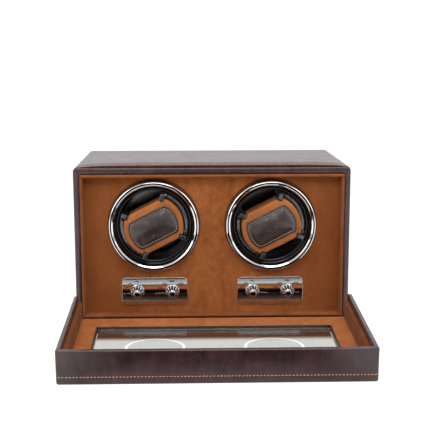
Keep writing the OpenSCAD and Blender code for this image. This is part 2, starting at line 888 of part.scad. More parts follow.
module back_cover() {
    color(leather_c)
    difference() {
        slab(back_y0, back_y1) translate([0, (in_z0 + in_z1) / 2])
            square([2 * in_x - 2 * back_gap, in_z1 - in_z0 - 2 * back_gap], center = true);
        at_block_centres() rod(back_screw_r, back_y0 - 1, back_y1 + 1);
        slab(back_y0 - 1, back_y1 + 1) for (side = [left, right], i = [0 : vents - 1])
            translate([side * vent_x + (i - (vents - 1) / 2) * vent_step, vent_z]) slot_outline(vent_w, vent_l);
        translate([inlet_x, 0, inlet_z]) rod(inlet_body_r, back_y0 - 1, back_y1 + 1);
    }
}

module back_screws() {
    color(steel_c)
    at_block_centres() {
        rod(back_screw_r, back_y0 - back_screw_l, back_y1);
        difference() {
            rod(back_screw_head_r, back_y1, back_y1 + back_screw_head_t);
            rod(back_screw_head_r / 2.4, back_y1 + 0.8, back_y1 + back_screw_head_t + 1);
        }
    }
}

module power_inlet() {
    y1 = back_y1 + inlet_flange_t;
    translate([inlet_x, 0, inlet_z]) {
        color(black_c) difference() {
            union() {
                rod(inlet_body_r, y1 - inlet_l, back_y1);
                rod(inlet_flange_r, back_y1, y1);
            }
            rod(inlet_r, y1 - inlet_l + 3, y1 + 1);
        }
        color(steel_c) rod(inlet_pin_r, y1 - inlet_l + 3, y1 - 2);
    }
}

module case_magnets() {
    color(steel_c)
    for (sx = [left, right])
        translate([sx * magnet_x, 0, case_h - leather_t - board_t / 2]) rod(magnet_r, leather_t, leather_t + magnet_l);
}

// ---------- hinge ----------

// Leaf in the XY plane on Z = 0 with its knuckles; first picks which knuckles it owns
module hinge_leaf(first, leaf_w, z, bore) {
    difference() {
        union() {
            block([-hinge_l / 2, leaf_y0, z], [hinge_l / 2, leaf_y0 + leaf_w, z + leaf_t]);
            for (i = [first : 2 : knuckles - 1]) {
                x0 = i * knuckle_l - hinge_l / 2 + knuckle_space / 2;
                x1 = x0 + knuckle_l - knuckle_space;
                block([x0, axis_y, z], [x1, leaf_y0 + eps, z + leaf_t]);
                translate([x0, axis_y, axis_z]) rotate([0, 90, 0]) cylinder(r = knuckle_r, h = x1 - x0, $fn = 32);
            }
        }
        translate([-hinge_l, axis_y, axis_z]) rotate([0, 90, 0]) cylinder(r = bore, h = 2 * hinge_l);
    }
}

module leaf_screw() {
    head_h = leaf_t;
    translate([0, 0, -leaf_screw_l]) cylinder(r = leaf_screw_r, h = leaf_screw_l, $fn = 24);
    translate([0, 0, -head_h]) cylinder(r1 = leaf_screw_r, r2 = leaf_screw_head_r, h = head_h, $fn = 24);
}

module hinge_base_leaf() {
    color([0.72, 0.58, 0.30])
    difference() {
        hinge_leaf(0, base_leaf_w, base_leaf_z, pin_r);
        base_screw_axis() leaf_screw();
    }
}

module hinge_pin() {
    color(steel_c)
    translate([knuckle_space / 2 - hinge_l / 2, axis_y, axis_z]) rotate([0, 90, 0]) cylinder(r = pin_r, h = hinge_l - knuckle_space);
}

module hinge_base_screws() {
    color(steel_c) base_screw_axis() leaf_screw();
}

module lid_screw_axis() {
    leaf_screw_places() translate([0, leaf_y0 + lid_leaf_w / 2, lid_leaf_z]) rotate([180, 0, 0]) children();
}

module hinge_lid_leaf() {
    color([0.72, 0.58, 0.30])
    lay_open() difference() {
        hinge_leaf(1, lid_leaf_w, lid_leaf_z, pin_r + run_gap);
        lid_screw_axis() leaf_screw();
    }
}

module hinge_lid_screws() {
    color(steel_c) lay_open() lid_screw_axis() leaf_screw();
}

// ---------- lid ----------

module lid_leaf_recess() {
    block([-hinge_l / 2 - knuckle_gap, lid_y0 - 1, lid_z0 - 1],
          [hinge_l / 2 + knuckle_gap, leaf_y0 + lid_leaf_w + knuckle_gap, lid_leaf_z + leaf_t]);
}

// Room inside the lid, as wide as x and as high as z1, in front view
module lid_room(x, z1, y0, y1) {
    block([-x, y0, lid_z0 - 1], [x, y1, z1]);
}

module window_hole(grow, y0, y1) {
    block([-window_x - grow, y0, window_z0 - grow], [window_x + grow, y1, window_z1 + grow]);
}

// Space of the lid's boards: the panel and three walls
module lid_board_space() {
    x = lid_x - leather_t;
    r = lid_edge_r - leather_t;
    difference() {
        soft_box(x, lid_z0 - lid_edge_r, lid_z1 - leather_t, panel_out_y, lid_y1 - leather_t, r, r, 0.2);
        block([-case_w, lid_y0 - 1, lid_z0 - 2 * lid_edge_r], [case_w, 1, lid_z0 + leather_t]);
        lid_room(rim_x + turn_in_t, rim_z + turn_in_t, turn_in_y, lid_y1 + 1);
        lid_room(rim_x + turn_in_t, rim_z + turn_in_t, panel_in_y, turn_in_y + eps);
    }
}

module lid_strikes(play) {
    z = rim_z + turn_in_t + (rim_w - turn_in_t - leather_t - strike_t) / 2;
    for (sx = [left, right])
        block([sx * magnet_x - strike_l / 2 - play, lid_y1 - leather_t - strike_w - play, z - play],
              [sx * magnet_x + strike_l / 2 + play, lid_y1 - leather_t + (play > 0 ? eps : 0), z + strike_t + play]);
}

module lid_board() {
    color(board_c)
    lay_open() difference() {
        lid_board_space();
        window_hole(bead_w, panel_out_y - 1, panel_in_y + 1);
        window_hole(glass_lap + glass_play, glass_y, panel_in_y + 1);
        lid_strikes(0.02);
        lid_screw_axis() translate([0, 0, -leaf_screw_l - 1]) cylinder(r = leaf_screw_r, h = leaf_screw_l + 1, $fn = 24);
    }
}

module lid_leather() {
    color(leather_c)
    lay_open() difference() {
        soft_box(lid_x, lid_z0 - lid_edge_r, lid_z1, lid_y0, lid_y1, lid_edge_r, lid_edge_r, edge_r);
        block([-case_w, lid_y0 - 1, lid_z0 - 2 * lid_edge_r], [case_w, 1, lid_z0]);
        lid_board_space();
        lid_room(rim_x, rim_z, panel_out_y + 1, lid_y1 + 1);
        lid_room(rim_x + turn_in_t, rim_z + turn_in_t, panel_in_y, turn_in_y);
        window_hole(0, lid_y0 - 1, panel_in_y);
        lid_leaf_recess();
        lid_screw_axis() translate([0, 0, -leaf_screw_l - 1]) cylinder(r = leaf_screw_r, h = leaf_screw_l + 1, $fn = 24);
    }
}

module lid_floor_lining() {
    color(suede_c)
    lay_open() difference() {
        block([-rim_x - turn_in_t, panel_in_y, lid_z0 + leather_t], [rim_x + turn_in_t, lining_y, rim_z + turn_in_t]);
        window_hole(bead_w, panel_in_y - 1, lining_y + 1);
    }
}

// Three lining boards, mitred where they meet
module lid_wall_lining() {
    x = rim_x + turn_in_t;
    z = rim_z + turn_in_t;
    t = x - collar_x;
    color(suede_c)
    lay_open() {
        for (sx = [left, right]) slab(lining_y, turn_in_y)
            polygon([[sx * x, lid_z0 + leather_t], [sx * x, z], [sx * (x - t), z - t], [sx * (x - t), lid_z0 + leather_t]]);
        slab(lining_y, turn_in_y) polygon([[-x, z], [x, z], [x - t, z - t], [t - x, z - t]]);
    }
}

module window_glass() {
    color([0.8, 0.85, 0.86, 0.35])
    lay_open() window_hole(glass_lap, glass_y, panel_in_y);
}

module window_bead() {
    color(black_c)
    lay_open() difference() {
        window_hole(bead_w - bead_play, panel_in_y, lining_y + 0.4);
        window_hole(0, panel_in_y - 1, lining_y + 1);
    }
}

module lid_strike_plates() {
    color(steel_c) lay_open() lid_strikes(0);
}

base_felt();
base_board();
case_carcass();
case_leather();
collar();
front_panel();
bezel(left);  // bezel_left
bezel(right);  // bezel_right
bezel_sleeve(left);  // bezel_sleeve_left
bezel_sleeve(right);  // bezel_sleeve_right
control_plate(left);  // control_plate_left
control_plate(right);  // control_plate_right
switches(left);  // switches_left
switches(right);  // switches_right
circuit_board(left);  // circuit_board_left
circuit_board(right);  // circuit_board_right
mechanism_plate();
standoffs();
plate_screws();
bearing(left);  // bearing_left
bearing(right);  // bearing_right
gear_motor(left);  // gear_motor_left
gear_motor(right);  // gear_motor_right
back_cover();
back_screws();
power_inlet();
case_magnets();
hinge_base_leaf();
hinge_pin();
hinge_base_screws();
lid_board();
lid_leather();
lid_floor_lining();
lid_wall_lining();
window_glass();
window_bead();
hinge_lid_leaf();
hinge_lid_screws();
lid_strike_plates();
cup(left);  // cup_left
cup(right);  // cup_right
cuff_holder(left);  // cuff_holder_left
cuff_holder(right);  // cuff_holder_right
drive_gear(left);  // drive_gear_left
drive_gear(right);  // drive_gear_right
rotor_shaft(left);  // rotor_shaft_left
rotor_shaft(right);  // rotor_shaft_right
pinion(left);  // pinion_left
pinion(right);  // pinion_right
motor_shaft(left);  // motor_shaft_left
motor_shaft(right);  // motor_shaft_right
cushion(left);  // cushion_left
cushion(right);  // cushion_right
cushion_patch(left);  // cushion_patch_left
cushion_patch(right);  // cushion_patch_right
knob(left, left);  // knob_left_direction
knob(left, right);  // knob_left_turns
knob(right, left);  // knob_right_direction
knob(right, right);  // knob_right_turns
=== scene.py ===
"""Looks for the two-rotor watch winder box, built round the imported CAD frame. Sizes in the code are
millimetres unless a name says otherwise; meshes are written in metres, in the frame's own axes."""
from functools import partialmethod
from math import asin, atan2, copysign, cos, degrees, hypot, pi, radians, sin

import bmesh
import bpy
import numpy as np
from mathutils import Matrix, Vector, noise


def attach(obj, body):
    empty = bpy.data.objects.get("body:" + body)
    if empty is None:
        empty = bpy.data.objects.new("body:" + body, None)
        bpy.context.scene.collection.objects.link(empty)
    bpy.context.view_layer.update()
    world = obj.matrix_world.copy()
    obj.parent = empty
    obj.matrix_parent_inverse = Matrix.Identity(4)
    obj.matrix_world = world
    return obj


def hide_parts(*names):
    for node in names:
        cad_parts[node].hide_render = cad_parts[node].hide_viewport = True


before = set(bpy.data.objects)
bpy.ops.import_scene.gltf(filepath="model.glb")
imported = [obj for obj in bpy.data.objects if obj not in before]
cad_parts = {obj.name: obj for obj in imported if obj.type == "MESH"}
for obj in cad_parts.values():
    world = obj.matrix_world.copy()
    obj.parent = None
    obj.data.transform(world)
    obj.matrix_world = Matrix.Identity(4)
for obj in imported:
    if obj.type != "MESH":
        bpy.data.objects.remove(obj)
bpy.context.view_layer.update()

MM = 0.001
SIDES = {"left": -1, "right": 1}
HALF_W, CASE_D, CASE_H = 155, 197, 181
SILL_Y, SILL_Z, FELT_T = -35, 7.8, 1.5
CORNER_R, FOLD_R, SHARP_R, FOOT_R = 4, 1.4, 0.06, 0.05
IN_X, IN_Z0, IN_Z1, MOUTH_R = 147.6, 11, 173.6, 0.65
STITCH_Y, LID_STITCH_IN = 9.6, 8
COLLAR_T, COLLAR_OUT, PANEL_Y = 3, 6, 8
ROTOR_X, ROTOR_Z, TILT = 66, 116, radians(27)
BEZEL_R, BEZEL_W, BEZEL_DROP, SLEEVE_R, SLEEVE_L = 50.5, 5.1, 0.7, 43.4, 34
CUP_R, CUP_IN_R, CUP_Y, CUP_FLOOR_Y, CUP_BACK_Y = 42.4, 40, 5, 58, 61
SHAFT_HOLE_R, CUP_BOSS_R = 3.05, 8
ARM_IN_R, ARM_OUT_R, ARM_Y, ARM_BACK_Y, ARM_ANGLE = 34, 38.4, 3, 57.5, 50
CLIP_ANGLE, TOOTH_ANGLE, RIB_ANGLE, NOTCH_R = 47.2, 38.4, 27, 30.55
PAD_R, PAD_H, PAD_Y0, PAD_Y1, PAD_EDGE, PAD_EDGE_Z, PAD_CROWN = 33.7, 23.9, -12, 30, 2.2, 2, 1.2
PATCH_R, PATCH_H, PATCH_T, PATCH_CROWN = 28.3, 17, 1.15, 2.9
PLATE_W, PLATE_H, PLATE_R, PLATE_Z, PLATE_Y, PLATE_HALF_T, PLATE_HOLE_R = 75, 32, 5, 38.5, 6.8, 0.6, 4.4
KNOB_X, KNOB_R, KNOB_Y, KNOB_L, FLUTES, SPINDLE_R = 20, 8, 6.3, 13, 12, 3
LID_X, LID_Z0, LID_Z1, LID_Y0, LID_Y1 = 153, 8.6, 179, -35, -0.4
LID_R, RIM_W, TURN_IN_Y = 2.6, 5, -6.5
LINING_Y, PANEL_IN_Y, LINING_X, LINING_Z0, LINING_Z = -26.1, -28.1, 144.6, LID_Z0 + 1.4, 170.6
WIN_X, WIN_Z0, WIN_Z1, WIN_EDGE_R, GLASS_Y, GLASS_LAP = 125, 40.1, 147.5, 0.6, -31.1, 5
HINGE_Y, HINGE_Z, OPEN_ANGLE = -37.35, 8.2, radians(93.6219)
# how the face of a control plate leans: share of its height, degrees
ROLL = ((0, -20.5), (0.153, -18.8), (0.155, -11), (0.48, -7.9), (0.67, -4.6), (0.93, -2), (0.95, 0.6),
        (1, 2.2))
ROLL_LOW, ROLL_SPAN = 25, 30
# the painted arcs of light, where the chrome rings would throw them on the table, metres
ARC_X, ARC_Y, ARC_R, ARC_END_Y = 0.063, -0.0925, 0.0305, -0.102
WHITE = (1, 1, 1, 1)


def linked(name, data):
    ob = bpy.data.objects.new(name, data)
    bpy.context.scene.collection.objects.link(ob)
    return ob


# ---------- node materials ----------

M = {}


class Tree:
    """A node tree, with a short call for each node that the looks repeat."""

    def __init__(self, owner):
        owner.use_nodes = True
        self.owner, self.nt = owner, owner.node_tree

    def feed(self, node, inputs):
        """Links or sets inputs of a node. A node as value stands for its first output."""
        for key, value in inputs.items():
            if isinstance(value, bpy.types.Node):
                value = value.outputs[0]
            if isinstance(value, bpy.types.NodeSocket):
                self.nt.links.new(value, node.inputs[key])
            elif value is not None:
                node.inputs[key].default_value = value
        return node

    def node(self, kind, inputs={}, **props):
        made = self.nt.nodes.new("ShaderNode" + kind)
        for key, value in props.items():
            setattr(made, key, value)
        return self.feed(made, inputs)

    def maths(self, operation, a, b=0.5):
        return self.node("Math", {0: a, 1: b}, operation=operation)

    plus = partialmethod(maths, "ADD")
    minus = partialmethod(maths, "SUBTRACT")
    times = partialmethod(maths, "MULTIPLY")
    absolute = partialmethod(maths, "ABSOLUTE")

    def reach(self, a, b):
        """How far the point (a, b) is from the middle."""
        return self.maths("SQRT", self.plus(self.times(a, a), self.times(b, b)))

    def fit(self, value, low, high, to_low=0, to_high=1, kind="LINEAR"):
        """value, from low to high, mapped to to_low..to_high."""
        ends = {"From Min": low, "From Max": high, "To Min": to_low, "To Max": to_high}
        return self.node("MapRange", {"Value": value, **ends}, interpolation_type=kind)

    ease = partialmethod(fit, kind="SMOOTHSTEP")

    def where(self, stretch=(1, 1, 1), turn=(0, 0, 0)):
        coords = self.node("TexCoord").outputs["Object"]
        return self.node("Mapping", {"Vector": coords, "Scale": stretch, "Rotation": turn})

    def axes(self, vector):
        return self.node("SeparateXYZ", {0: vector}).outputs

    def noise(self, scale, detail=3, rough=0.5, distortion=0, at=None):
        inputs = {"Vector": at or self.at, "Scale": scale, "Detail": detail, "Roughness": rough}
        return self.node("TexNoise", {**inputs, "Distortion": distortion}).outputs["Fac"]

    def cells(self, scale, at=None):
        """How far a point is from the edge of its cell."""
        inputs = {"Vector": at or self.at, "Scale": scale}
        return self.node("TexVoronoi", inputs, feature="DISTANCE_TO_EDGE").outputs["Distance"]

    def ramp(self, fac, *stops):
        made = self.node("ValToRGB", {"Fac": fac})
        elements = made.color_ramp.elements
        while len(elements) < len(stops):
            elements.new(0.5)
        for element, (place, colour) in zip(elements, stops):
            element.position, element.color = place, (*colour, 1)
        return made.outputs["Color"]

    def bump(self, height, strength, distance, under=None):
        inputs = {"Height": height, "Strength": strength, "Distance": distance, "Normal": under}
        return self.node("Bump", inputs)

    def mixed(self, fac, a, b):
        """Colour a with fac of the fixed colour b."""
        return self.node("Mix", {0: fac, 6: a, 7: (*b, 1)}, data_type="RGBA").outputs[2]

    def choose(self, fac, a, b):
        return self.node("MixShader", {0: fac, 1: a, 2: b})

    def finish(self, colour, gloss, rough, normal=None):
        """Feeds the Principled shader. gloss, from 0 to 1, spreads over the range rough."""
        rough = self.fit(gloss, 0, 1, *rough)
        self.feed(self.shader, {"Base Color": colour, "Roughness": rough, "Normal": normal})


def principled(name, specular=0.5, **values):
    """The tree of a new Principled material whose sockets take the given values."""
    M[name] = bpy.data.materials.new(name)
    t = Tree(M[name])
    t.shader = t.nt.nodes["Principled BSDF"]
    t.feed(t.shader, {"Specular IOR Level": specular, **{k.replace("_", " "): v for k, v in values.items()}})
    t.at = t.where()
    return t


def toned(colour, factor):
    return tuple(factor * c for c in colour)


def leather(name, dark, mid, light, rough, grain, wave, specular=0.5, border=False):
    """Smooth dark leather: fine pebble grain, slow unevenness, cloudy colour, a few fine scuffs. A border is
    left unpolished from the front fold to the end of the padding."""
    t = principled(name, specular)
    cloudy = t.noise(22, 4, 0.6, 0.4)
    streaks = t.noise(75, 4, 0.65, 0.6, t.where((1, 1, 0.25), (0.3, 0.2, 0.5)))
    shade = t.ramp(t.plus(t.times(cloudy, 0.6), t.times(streaks, 0.4)), (0.38, dark), (0.5, mid), (0.64, light))
    pebble = t.fit(t.cells(820), 0, 0.28)
    pores = t.plus(t.times(pebble, 0.7), t.times(t.noise(1500), 0.5))
    shade = t.mixed(t.fit(pebble, 0, 1, 0.25, 0), shade, toned(dark, 0.55))
    scuff = t.fit(t.cells(24, t.where((1, 1, 0.7), (0.1, 0.4, 0.2))), 0.012, 0)
    rare = t.fit(t.noise(17, 2), 0.56, 0.66)
    shade = t.mixed(t.times(t.times(scuff, rare), 0.5), shade, toned(light, 2.2))
    if border:
        depth = t.axes(t.at)["Y"]
        behind = t.fit(depth, 0.0215, 0.0265, 0.12, specular)
        ahead = t.times(t.maths("LESS_THAN", depth, 0.0036), specular)
        t.feed(t.shader, {"Specular IOR Level": t.maths("MAXIMUM", behind, ahead)})
    uneven = t.bump(t.noise(60, 3, 0.45, at=t.where((1, 1, 1.4))), 0.5 * wave, 0.0011)
    t.finish(shade, t.noise(55, 5, 0.6), rough, t.bump(pores, 0.32 * grain, 0.00012, uneven))


def suede(name, dark, mid, light, sheen=0.12, panel=False):
    """Brushed suede: short nap, patches stroked both ways, soft sheen. On the panel, painted shade darkens it
    towards the sides, and a ring of painted shadow lies round each bezel."""
    t = principled(name, 0.08, Sheen_Weight=sheen, Sheen_Roughness=0.45, Sheen_Tint=(1, 0.62, 0.38, 1))
    stroked = t.noise(34, 5, 0.62, 1.1, t.where((1, 1, 0.45), (0, 0.5, 0)))
    patchy = t.noise(130, 4, 0.7, 0.5)
    nap = t.noise(1300, 4, 0.75)
    fac = t.plus(t.times(stroked, 0.5), t.plus(t.times(patchy, 0.27), t.times(nap, 0.23)))
    shade = t.ramp(fac, (0.34, dark), (0.5, mid), (0.67, light))
    if panel:
        spot = t.axes(t.at)
        across = t.absolute(spot["X"])
        # painted shade: darker towards the panel's sides, where the collar shades it
        shade = t.mixed(t.times(t.ease(across, 0.02, 0.145), 0.75), shade, dark)
        # painted shadow: a dark ring round each bezel
        reach = t.reach(t.minus(across, ROTOR_X * MM), t.minus(spot["Z"], ROTOR_Z * MM))
        shade = t.mixed(t.times(t.ease(reach, 0.0538, 0.0512), 0.8), shade, (0.05, 0.016, 0.008))
    t.finish(shade, nap, (0.86, 1), t.bump(nap, 0.6, 0.00035, t.bump(patchy, 0.25, 0.0008)))


def metal(name, colour, rough, brushed):
    t = principled(name, Metallic=1)
    smear = t.noise(140, 5, 0.6)
    lines = t.noise(30, at=t.where((1, 60, 60)))
    t.finish(t.ramp(smear, (0.3, toned(colour, 0.93)), (0.7, colour)), smear, (rough - 0.08, rough + 0.08),
             t.bump(lines, brushed, 0.00005))


def plastic(name, colour, rough, texture=0.12, scale=900, specular=0.5):
    t = principled(name, specular)
    mottle = t.noise(60)
    t.finish(t.ramp(mottle, (0.3, toned(colour, 0.8)), (0.7, toned(colour, 1.15))), mottle, rough,
             t.bump(t.noise(scale, 2), texture, 0.0001))


def fibrous(name, dark, light, scale):
    """Felt and fibre board."""
    t = principled(name, 0.2)
    fibres, blotches = t.noise(scale, 6, 0.75, 1.5), t.noise(40)
    fac = t.plus(t.times(fibres, 0.65), t.times(blotches, 0.35))
    t.finish(t.ramp(fac, (0.35, dark), (0.65, light)), blotches, (0.84, 0.96), t.bump(fibres, 0.4, 0.0003))


def thread(name, colour):
    t = principled(name, 0.35, Sheen_Weight=0.2)
    inputs = {"Vector": t.where(turn=(0.6, 0.5, 0.7)), "Scale": 520, "Distortion": 1}
    ply, tone = t.node("TexWave", inputs, wave_type="BANDS").outputs["Fac"], t.noise(300)
    fac = t.plus(t.times(ply, 0.45), t.times(tone, 0.55))
    shade = t.ramp(fac, (0.3, toned(colour, 0.55)), (0.6, colour))
    t.finish(shade, tone, (0.55, 0.75), t.bump(ply, 0.5, 0.0001))


def glass(name):
    """Clear float glass that lets the lamps' light through; a faint smear varies its gloss."""
    t = principled(name, IOR=1.26, Transmission_Weight=1, Base_Color=(0.93, 0.97, 0.955, 1))
    smear = t.noise(26, 5, 0.7, 1, t.where((1, 3, 1)))
    t.finish(None, t.fit(smear, 0.45, 0.8), (0, 0.05))
    clear = t.node("BsdfTransparent", {"Color": (0.88, 0.92, 0.91, 1)})
    seen = t.choose(t.node("LightPath").outputs["Is Shadow Ray"], t.shader, clear)
    t.feed(t.nt.nodes["Material Output"], {"Surface": seen})


def board_green(name):
    """Solder mask with copper traces and a printed grid of pads."""
    t = principled(name)
    traces = t.node("TexBrick", {
        "Vector": t.at, "Scale": 160, "Mortar Size": 0.012, "Mortar": (0.03, 0.2, 0.09, 1),
        "Color1": (0.012, 0.1, 0.04, 1), "Color2": (0.014, 0.12, 0.05, 1)}).outputs
    t.finish(traces["Color"], t.noise(90), (0.3, 0.45), t.bump(traces["Fac"], 0.2, 0.0001))


def rolled(name, colour):
    """Chrome plate whose flat face shades as a faintly rolled pressing, with a fold low down. Its upper part
    is darker, a painted grey band in what it mirrors."""
    t = principled(name, Metallic=1)
    shade = t.ramp(t.noise(60, 4), (0.3, toned(colour, 0.94)), (0.7, colour))
    h = t.fit(t.axes(t.at)["Z"], (PLATE_Z - PLATE_H / 2) * MM, (PLATE_Z + PLATE_H / 2) * MM)
    # painted reflection: the upper part of the plate is darkened to a grey band
    painted_grey_band = t.ramp(h, (0.64, (0, 0, 0)), (0.7, (0.62, 0.62, 0.62)))
    lean = t.ramp(h, *[(place, ((angle + ROLL_LOW) / ROLL_SPAN,) * 3) for place, angle in ROLL])
    angle = t.maths("RADIANS", t.minus(t.times(lean, ROLL_SPAN), ROLL_LOW))
    ahead, up = t.times(t.maths("COSINE", angle), -1), t.maths("SINE", angle)
    side = t.node("NewGeometry").outputs
    flat = t.maths("LESS_THAN", t.axes(side["True Normal"])["Y"], -0.998)
    facing = t.node("CombineXYZ", {"X": 0, "Y": ahead, "Z": up})
    blend = t.node("Mix", {0: flat, 4: side["Normal"], 5: facing}, data_type="VECTOR").outputs[1]
    streaks = t.noise(120, 4, at=t.where((1, 1, 5)))
    t.finish(t.mixed(painted_grey_band, shade, toned(colour, 0.5)), streaks, (0.03, 0.075), blend)


def chrome_painted_dark(name, colour):
    """Chrome darkened where the attribute "flute" is high: painted shade in the knobs' flutes, a painted dark
    reflection on the knobs' noses, and a painted dark line on the bezels' crests.
    """
    t = principled(name, Metallic=1)
    # the attribute carries painted shade and painted dark reflection, not wear
    painted_darkness = t.node("Attribute", attribute_name="flute").outputs["Fac"]
    tone = t.noise(300)
    dark = ((0.4, (0.012, 0.011, 0.011)), (1, (0.004, 0.004, 0.004)))
    t.finish(t.ramp(t.plus(painted_darkness, t.times(tone, 0.08)), (0.22, colour), *dark), tone, (0.05, 0.09))


HIDE = ((0.02, 0.0052, 0.0058), (0.042, 0.014, 0.0155), (0.072, 0.0285, 0.031))
leather("leather_dark_brown", *HIDE, (0.2, 0.32), 0.4, 0.8)
leather("leather_wrap", *HIDE, (0.22, 0.34), 0.4, 0.8, border=True)
leather("leather_flat", (0.028, 0.016, 0.015), (0.04, 0.023, 0.022), (0.053, 0.031, 0.03),
        (0.45, 0.6), 1.3, 0.6)
leather("leather_patch", (0.01, 0.0034, 0.0031), (0.02, 0.0072, 0.0068), (0.04, 0.0175, 0.018),
        (0.27, 0.39), 0.6, 1.6, 0.62)
suede("suede_tan", (0.225, 0.066, 0.0185), (0.345, 0.109, 0.032), (0.43, 0.151, 0.048))
# darker copies of the tan suede as painted shade: one for the collar, one for the lid's walls
suede("suede_collar_painted_shade", (0.165, 0.046, 0.0135), (0.245, 0.074, 0.0225), (0.31, 0.103, 0.034))
suede("suede_lid_walls_painted_shade", (0.098, 0.026, 0.0085), (0.158, 0.045, 0.0145), (0.21, 0.066, 0.022))
# the panel's suede gets painted shade towards its sides and a painted shadow round the bezels
suede("suede_panel", (0.225, 0.066, 0.0185), (0.415, 0.134, 0.0395), (0.55, 0.196, 0.063), panel=True)
suede("suede_cushion", (0.27, 0.082, 0.023), (0.4, 0.132, 0.039), (0.49, 0.18, 0.06), 0.16)
chrome_painted_dark("chrome_knob", (0.8, 0.8, 0.82))
chrome_painted_dark("chrome_ring", (0.57, 0.565, 0.575))
rolled("chrome_plate", (0.8, 0.8, 0.81))
metal("steel_satin", (0.5, 0.51, 0.53), 0.34, 0.4)
metal("brass_satin", (0.58, 0.42, 0.18), 0.3, 0.3)
# near-black hinge metal, as painted shade: the plates mirror it as the dark, shadowed gap
metal("hinge_metal_painted_shade", (0.05, 0.026, 0.018), 0.5, 0.3)
plastic("plastic_black", (0.011, 0.011, 0.012), (0.16, 0.28))
plastic("plastic_black_gloss", (0.007, 0.007, 0.008), (0.15, 0.24), 0.1, 500, 1)
plastic("plastic_black_satin", (0.016, 0.016, 0.017), (0.3, 0.42), 0.2)
plastic("plastic_switch", (0.03, 0.06, 0.14), (0.4, 0.5))
plastic("nylon_gear", (0.72, 0.69, 0.6), (0.42, 0.55), 0.2)
plastic("ink_dark", (0.02, 0.018, 0.018), (0.5, 0.6))
fibrous("felt_brown", (0.016, 0.012, 0.011), (0.042, 0.034, 0.031), 900)
fibrous("fibre_board", (0.34, 0.24, 0.15), (0.55, 0.42, 0.28), 420)
thread("thread_orange", (0.92, 0.36, 0.16))
# the case's stitches: the orange thread darkened, as painted shade
thread("thread_case_painted_shade", (0.85, 0.27, 0.095))
thread("thread_pale", (0.66, 0.36, 0.2))
glass("glass_clear")
board_green("circuit_board")


# ---------- shapes ----------

NX, NZ, ARCS = 64, 36, 8
# a corner under ROUND_R is drawn square, its points TIGHT or SPREAD along its two edges
ROUND_R, TIGHT, SPREAD = 0.8, 0.05, 1.6


def smooth(low, high, v):
    t = min(max((v - low) / (high - low), 0), 1)
    return t * t * (3 - 2 * t)


def mix(a, b, t):
    return a * (1 - t) + b * t


def arc(cx, cy, r, start, end, n):
    """Points of an arc, degrees, both ends included."""
    turn = [radians(start + (end - start) * i / n) for i in range(n + 1)]
    return [(cx + r * cos(a), cy + r * sin(a)) for a in turn]


def corner(cx, cz, r, start, arcs, spread):
    """Points round a corner whose arc's centre is at (cx, cz), from angle start over 90 degrees."""
    if r >= ROUND_R:
        return arc(cx, cz, r, start, start + 90, arcs)
    a, b = radians(start), radians(start + 90)
    tip = (cx + r * (cos(a) + cos(b)), cz + r * (sin(a) + sin(b)))
    points = []
    for i in range(arcs + 1):
        back = spread * abs(2 * i / arcs - 1)
        along = b if 2 * i < arcs else a
        points.append((tip[0] - back * cos(along), tip[1] - back * sin(along)))
    return points


def span(p, q, n):
    """n points strictly between p and q."""
    return [tuple(a + (b - a) * i / (n + 1) for a, b in zip(p, q)) for i in range(1, n + 1)]


def outline(y, x, z0, z1, r0, r1, nx=NX, nz=NZ, arcs=ARCS, spread=SPREAD, spread0=TIGHT):
    """Closed loop at y, counter-clockwise from the lower left as seen from the front: lower corners of radius
    r0, upper corners of radius r1."""
    bl = corner(-x + r0, z0 + r0, r0, 180, arcs, spread0)
    br = corner(x - r0, z0 + r0, r0, 270, arcs, spread0)
    tr = corner(x - r1, z1 - r1, r1, 0, arcs, spread)
    tl = corner(-x + r1, z1 - r1, r1, 90, arcs, spread)
    points = np.array(bl + span(bl[-1], br[0], nx) + br + span(br[-1], tr[0], nz) + tr
                      + span(tr[-1], tl[0], nx) + tl + span(tl[-1], bl[0], nz))
    return np.insert(points, 1, y, axis=1)


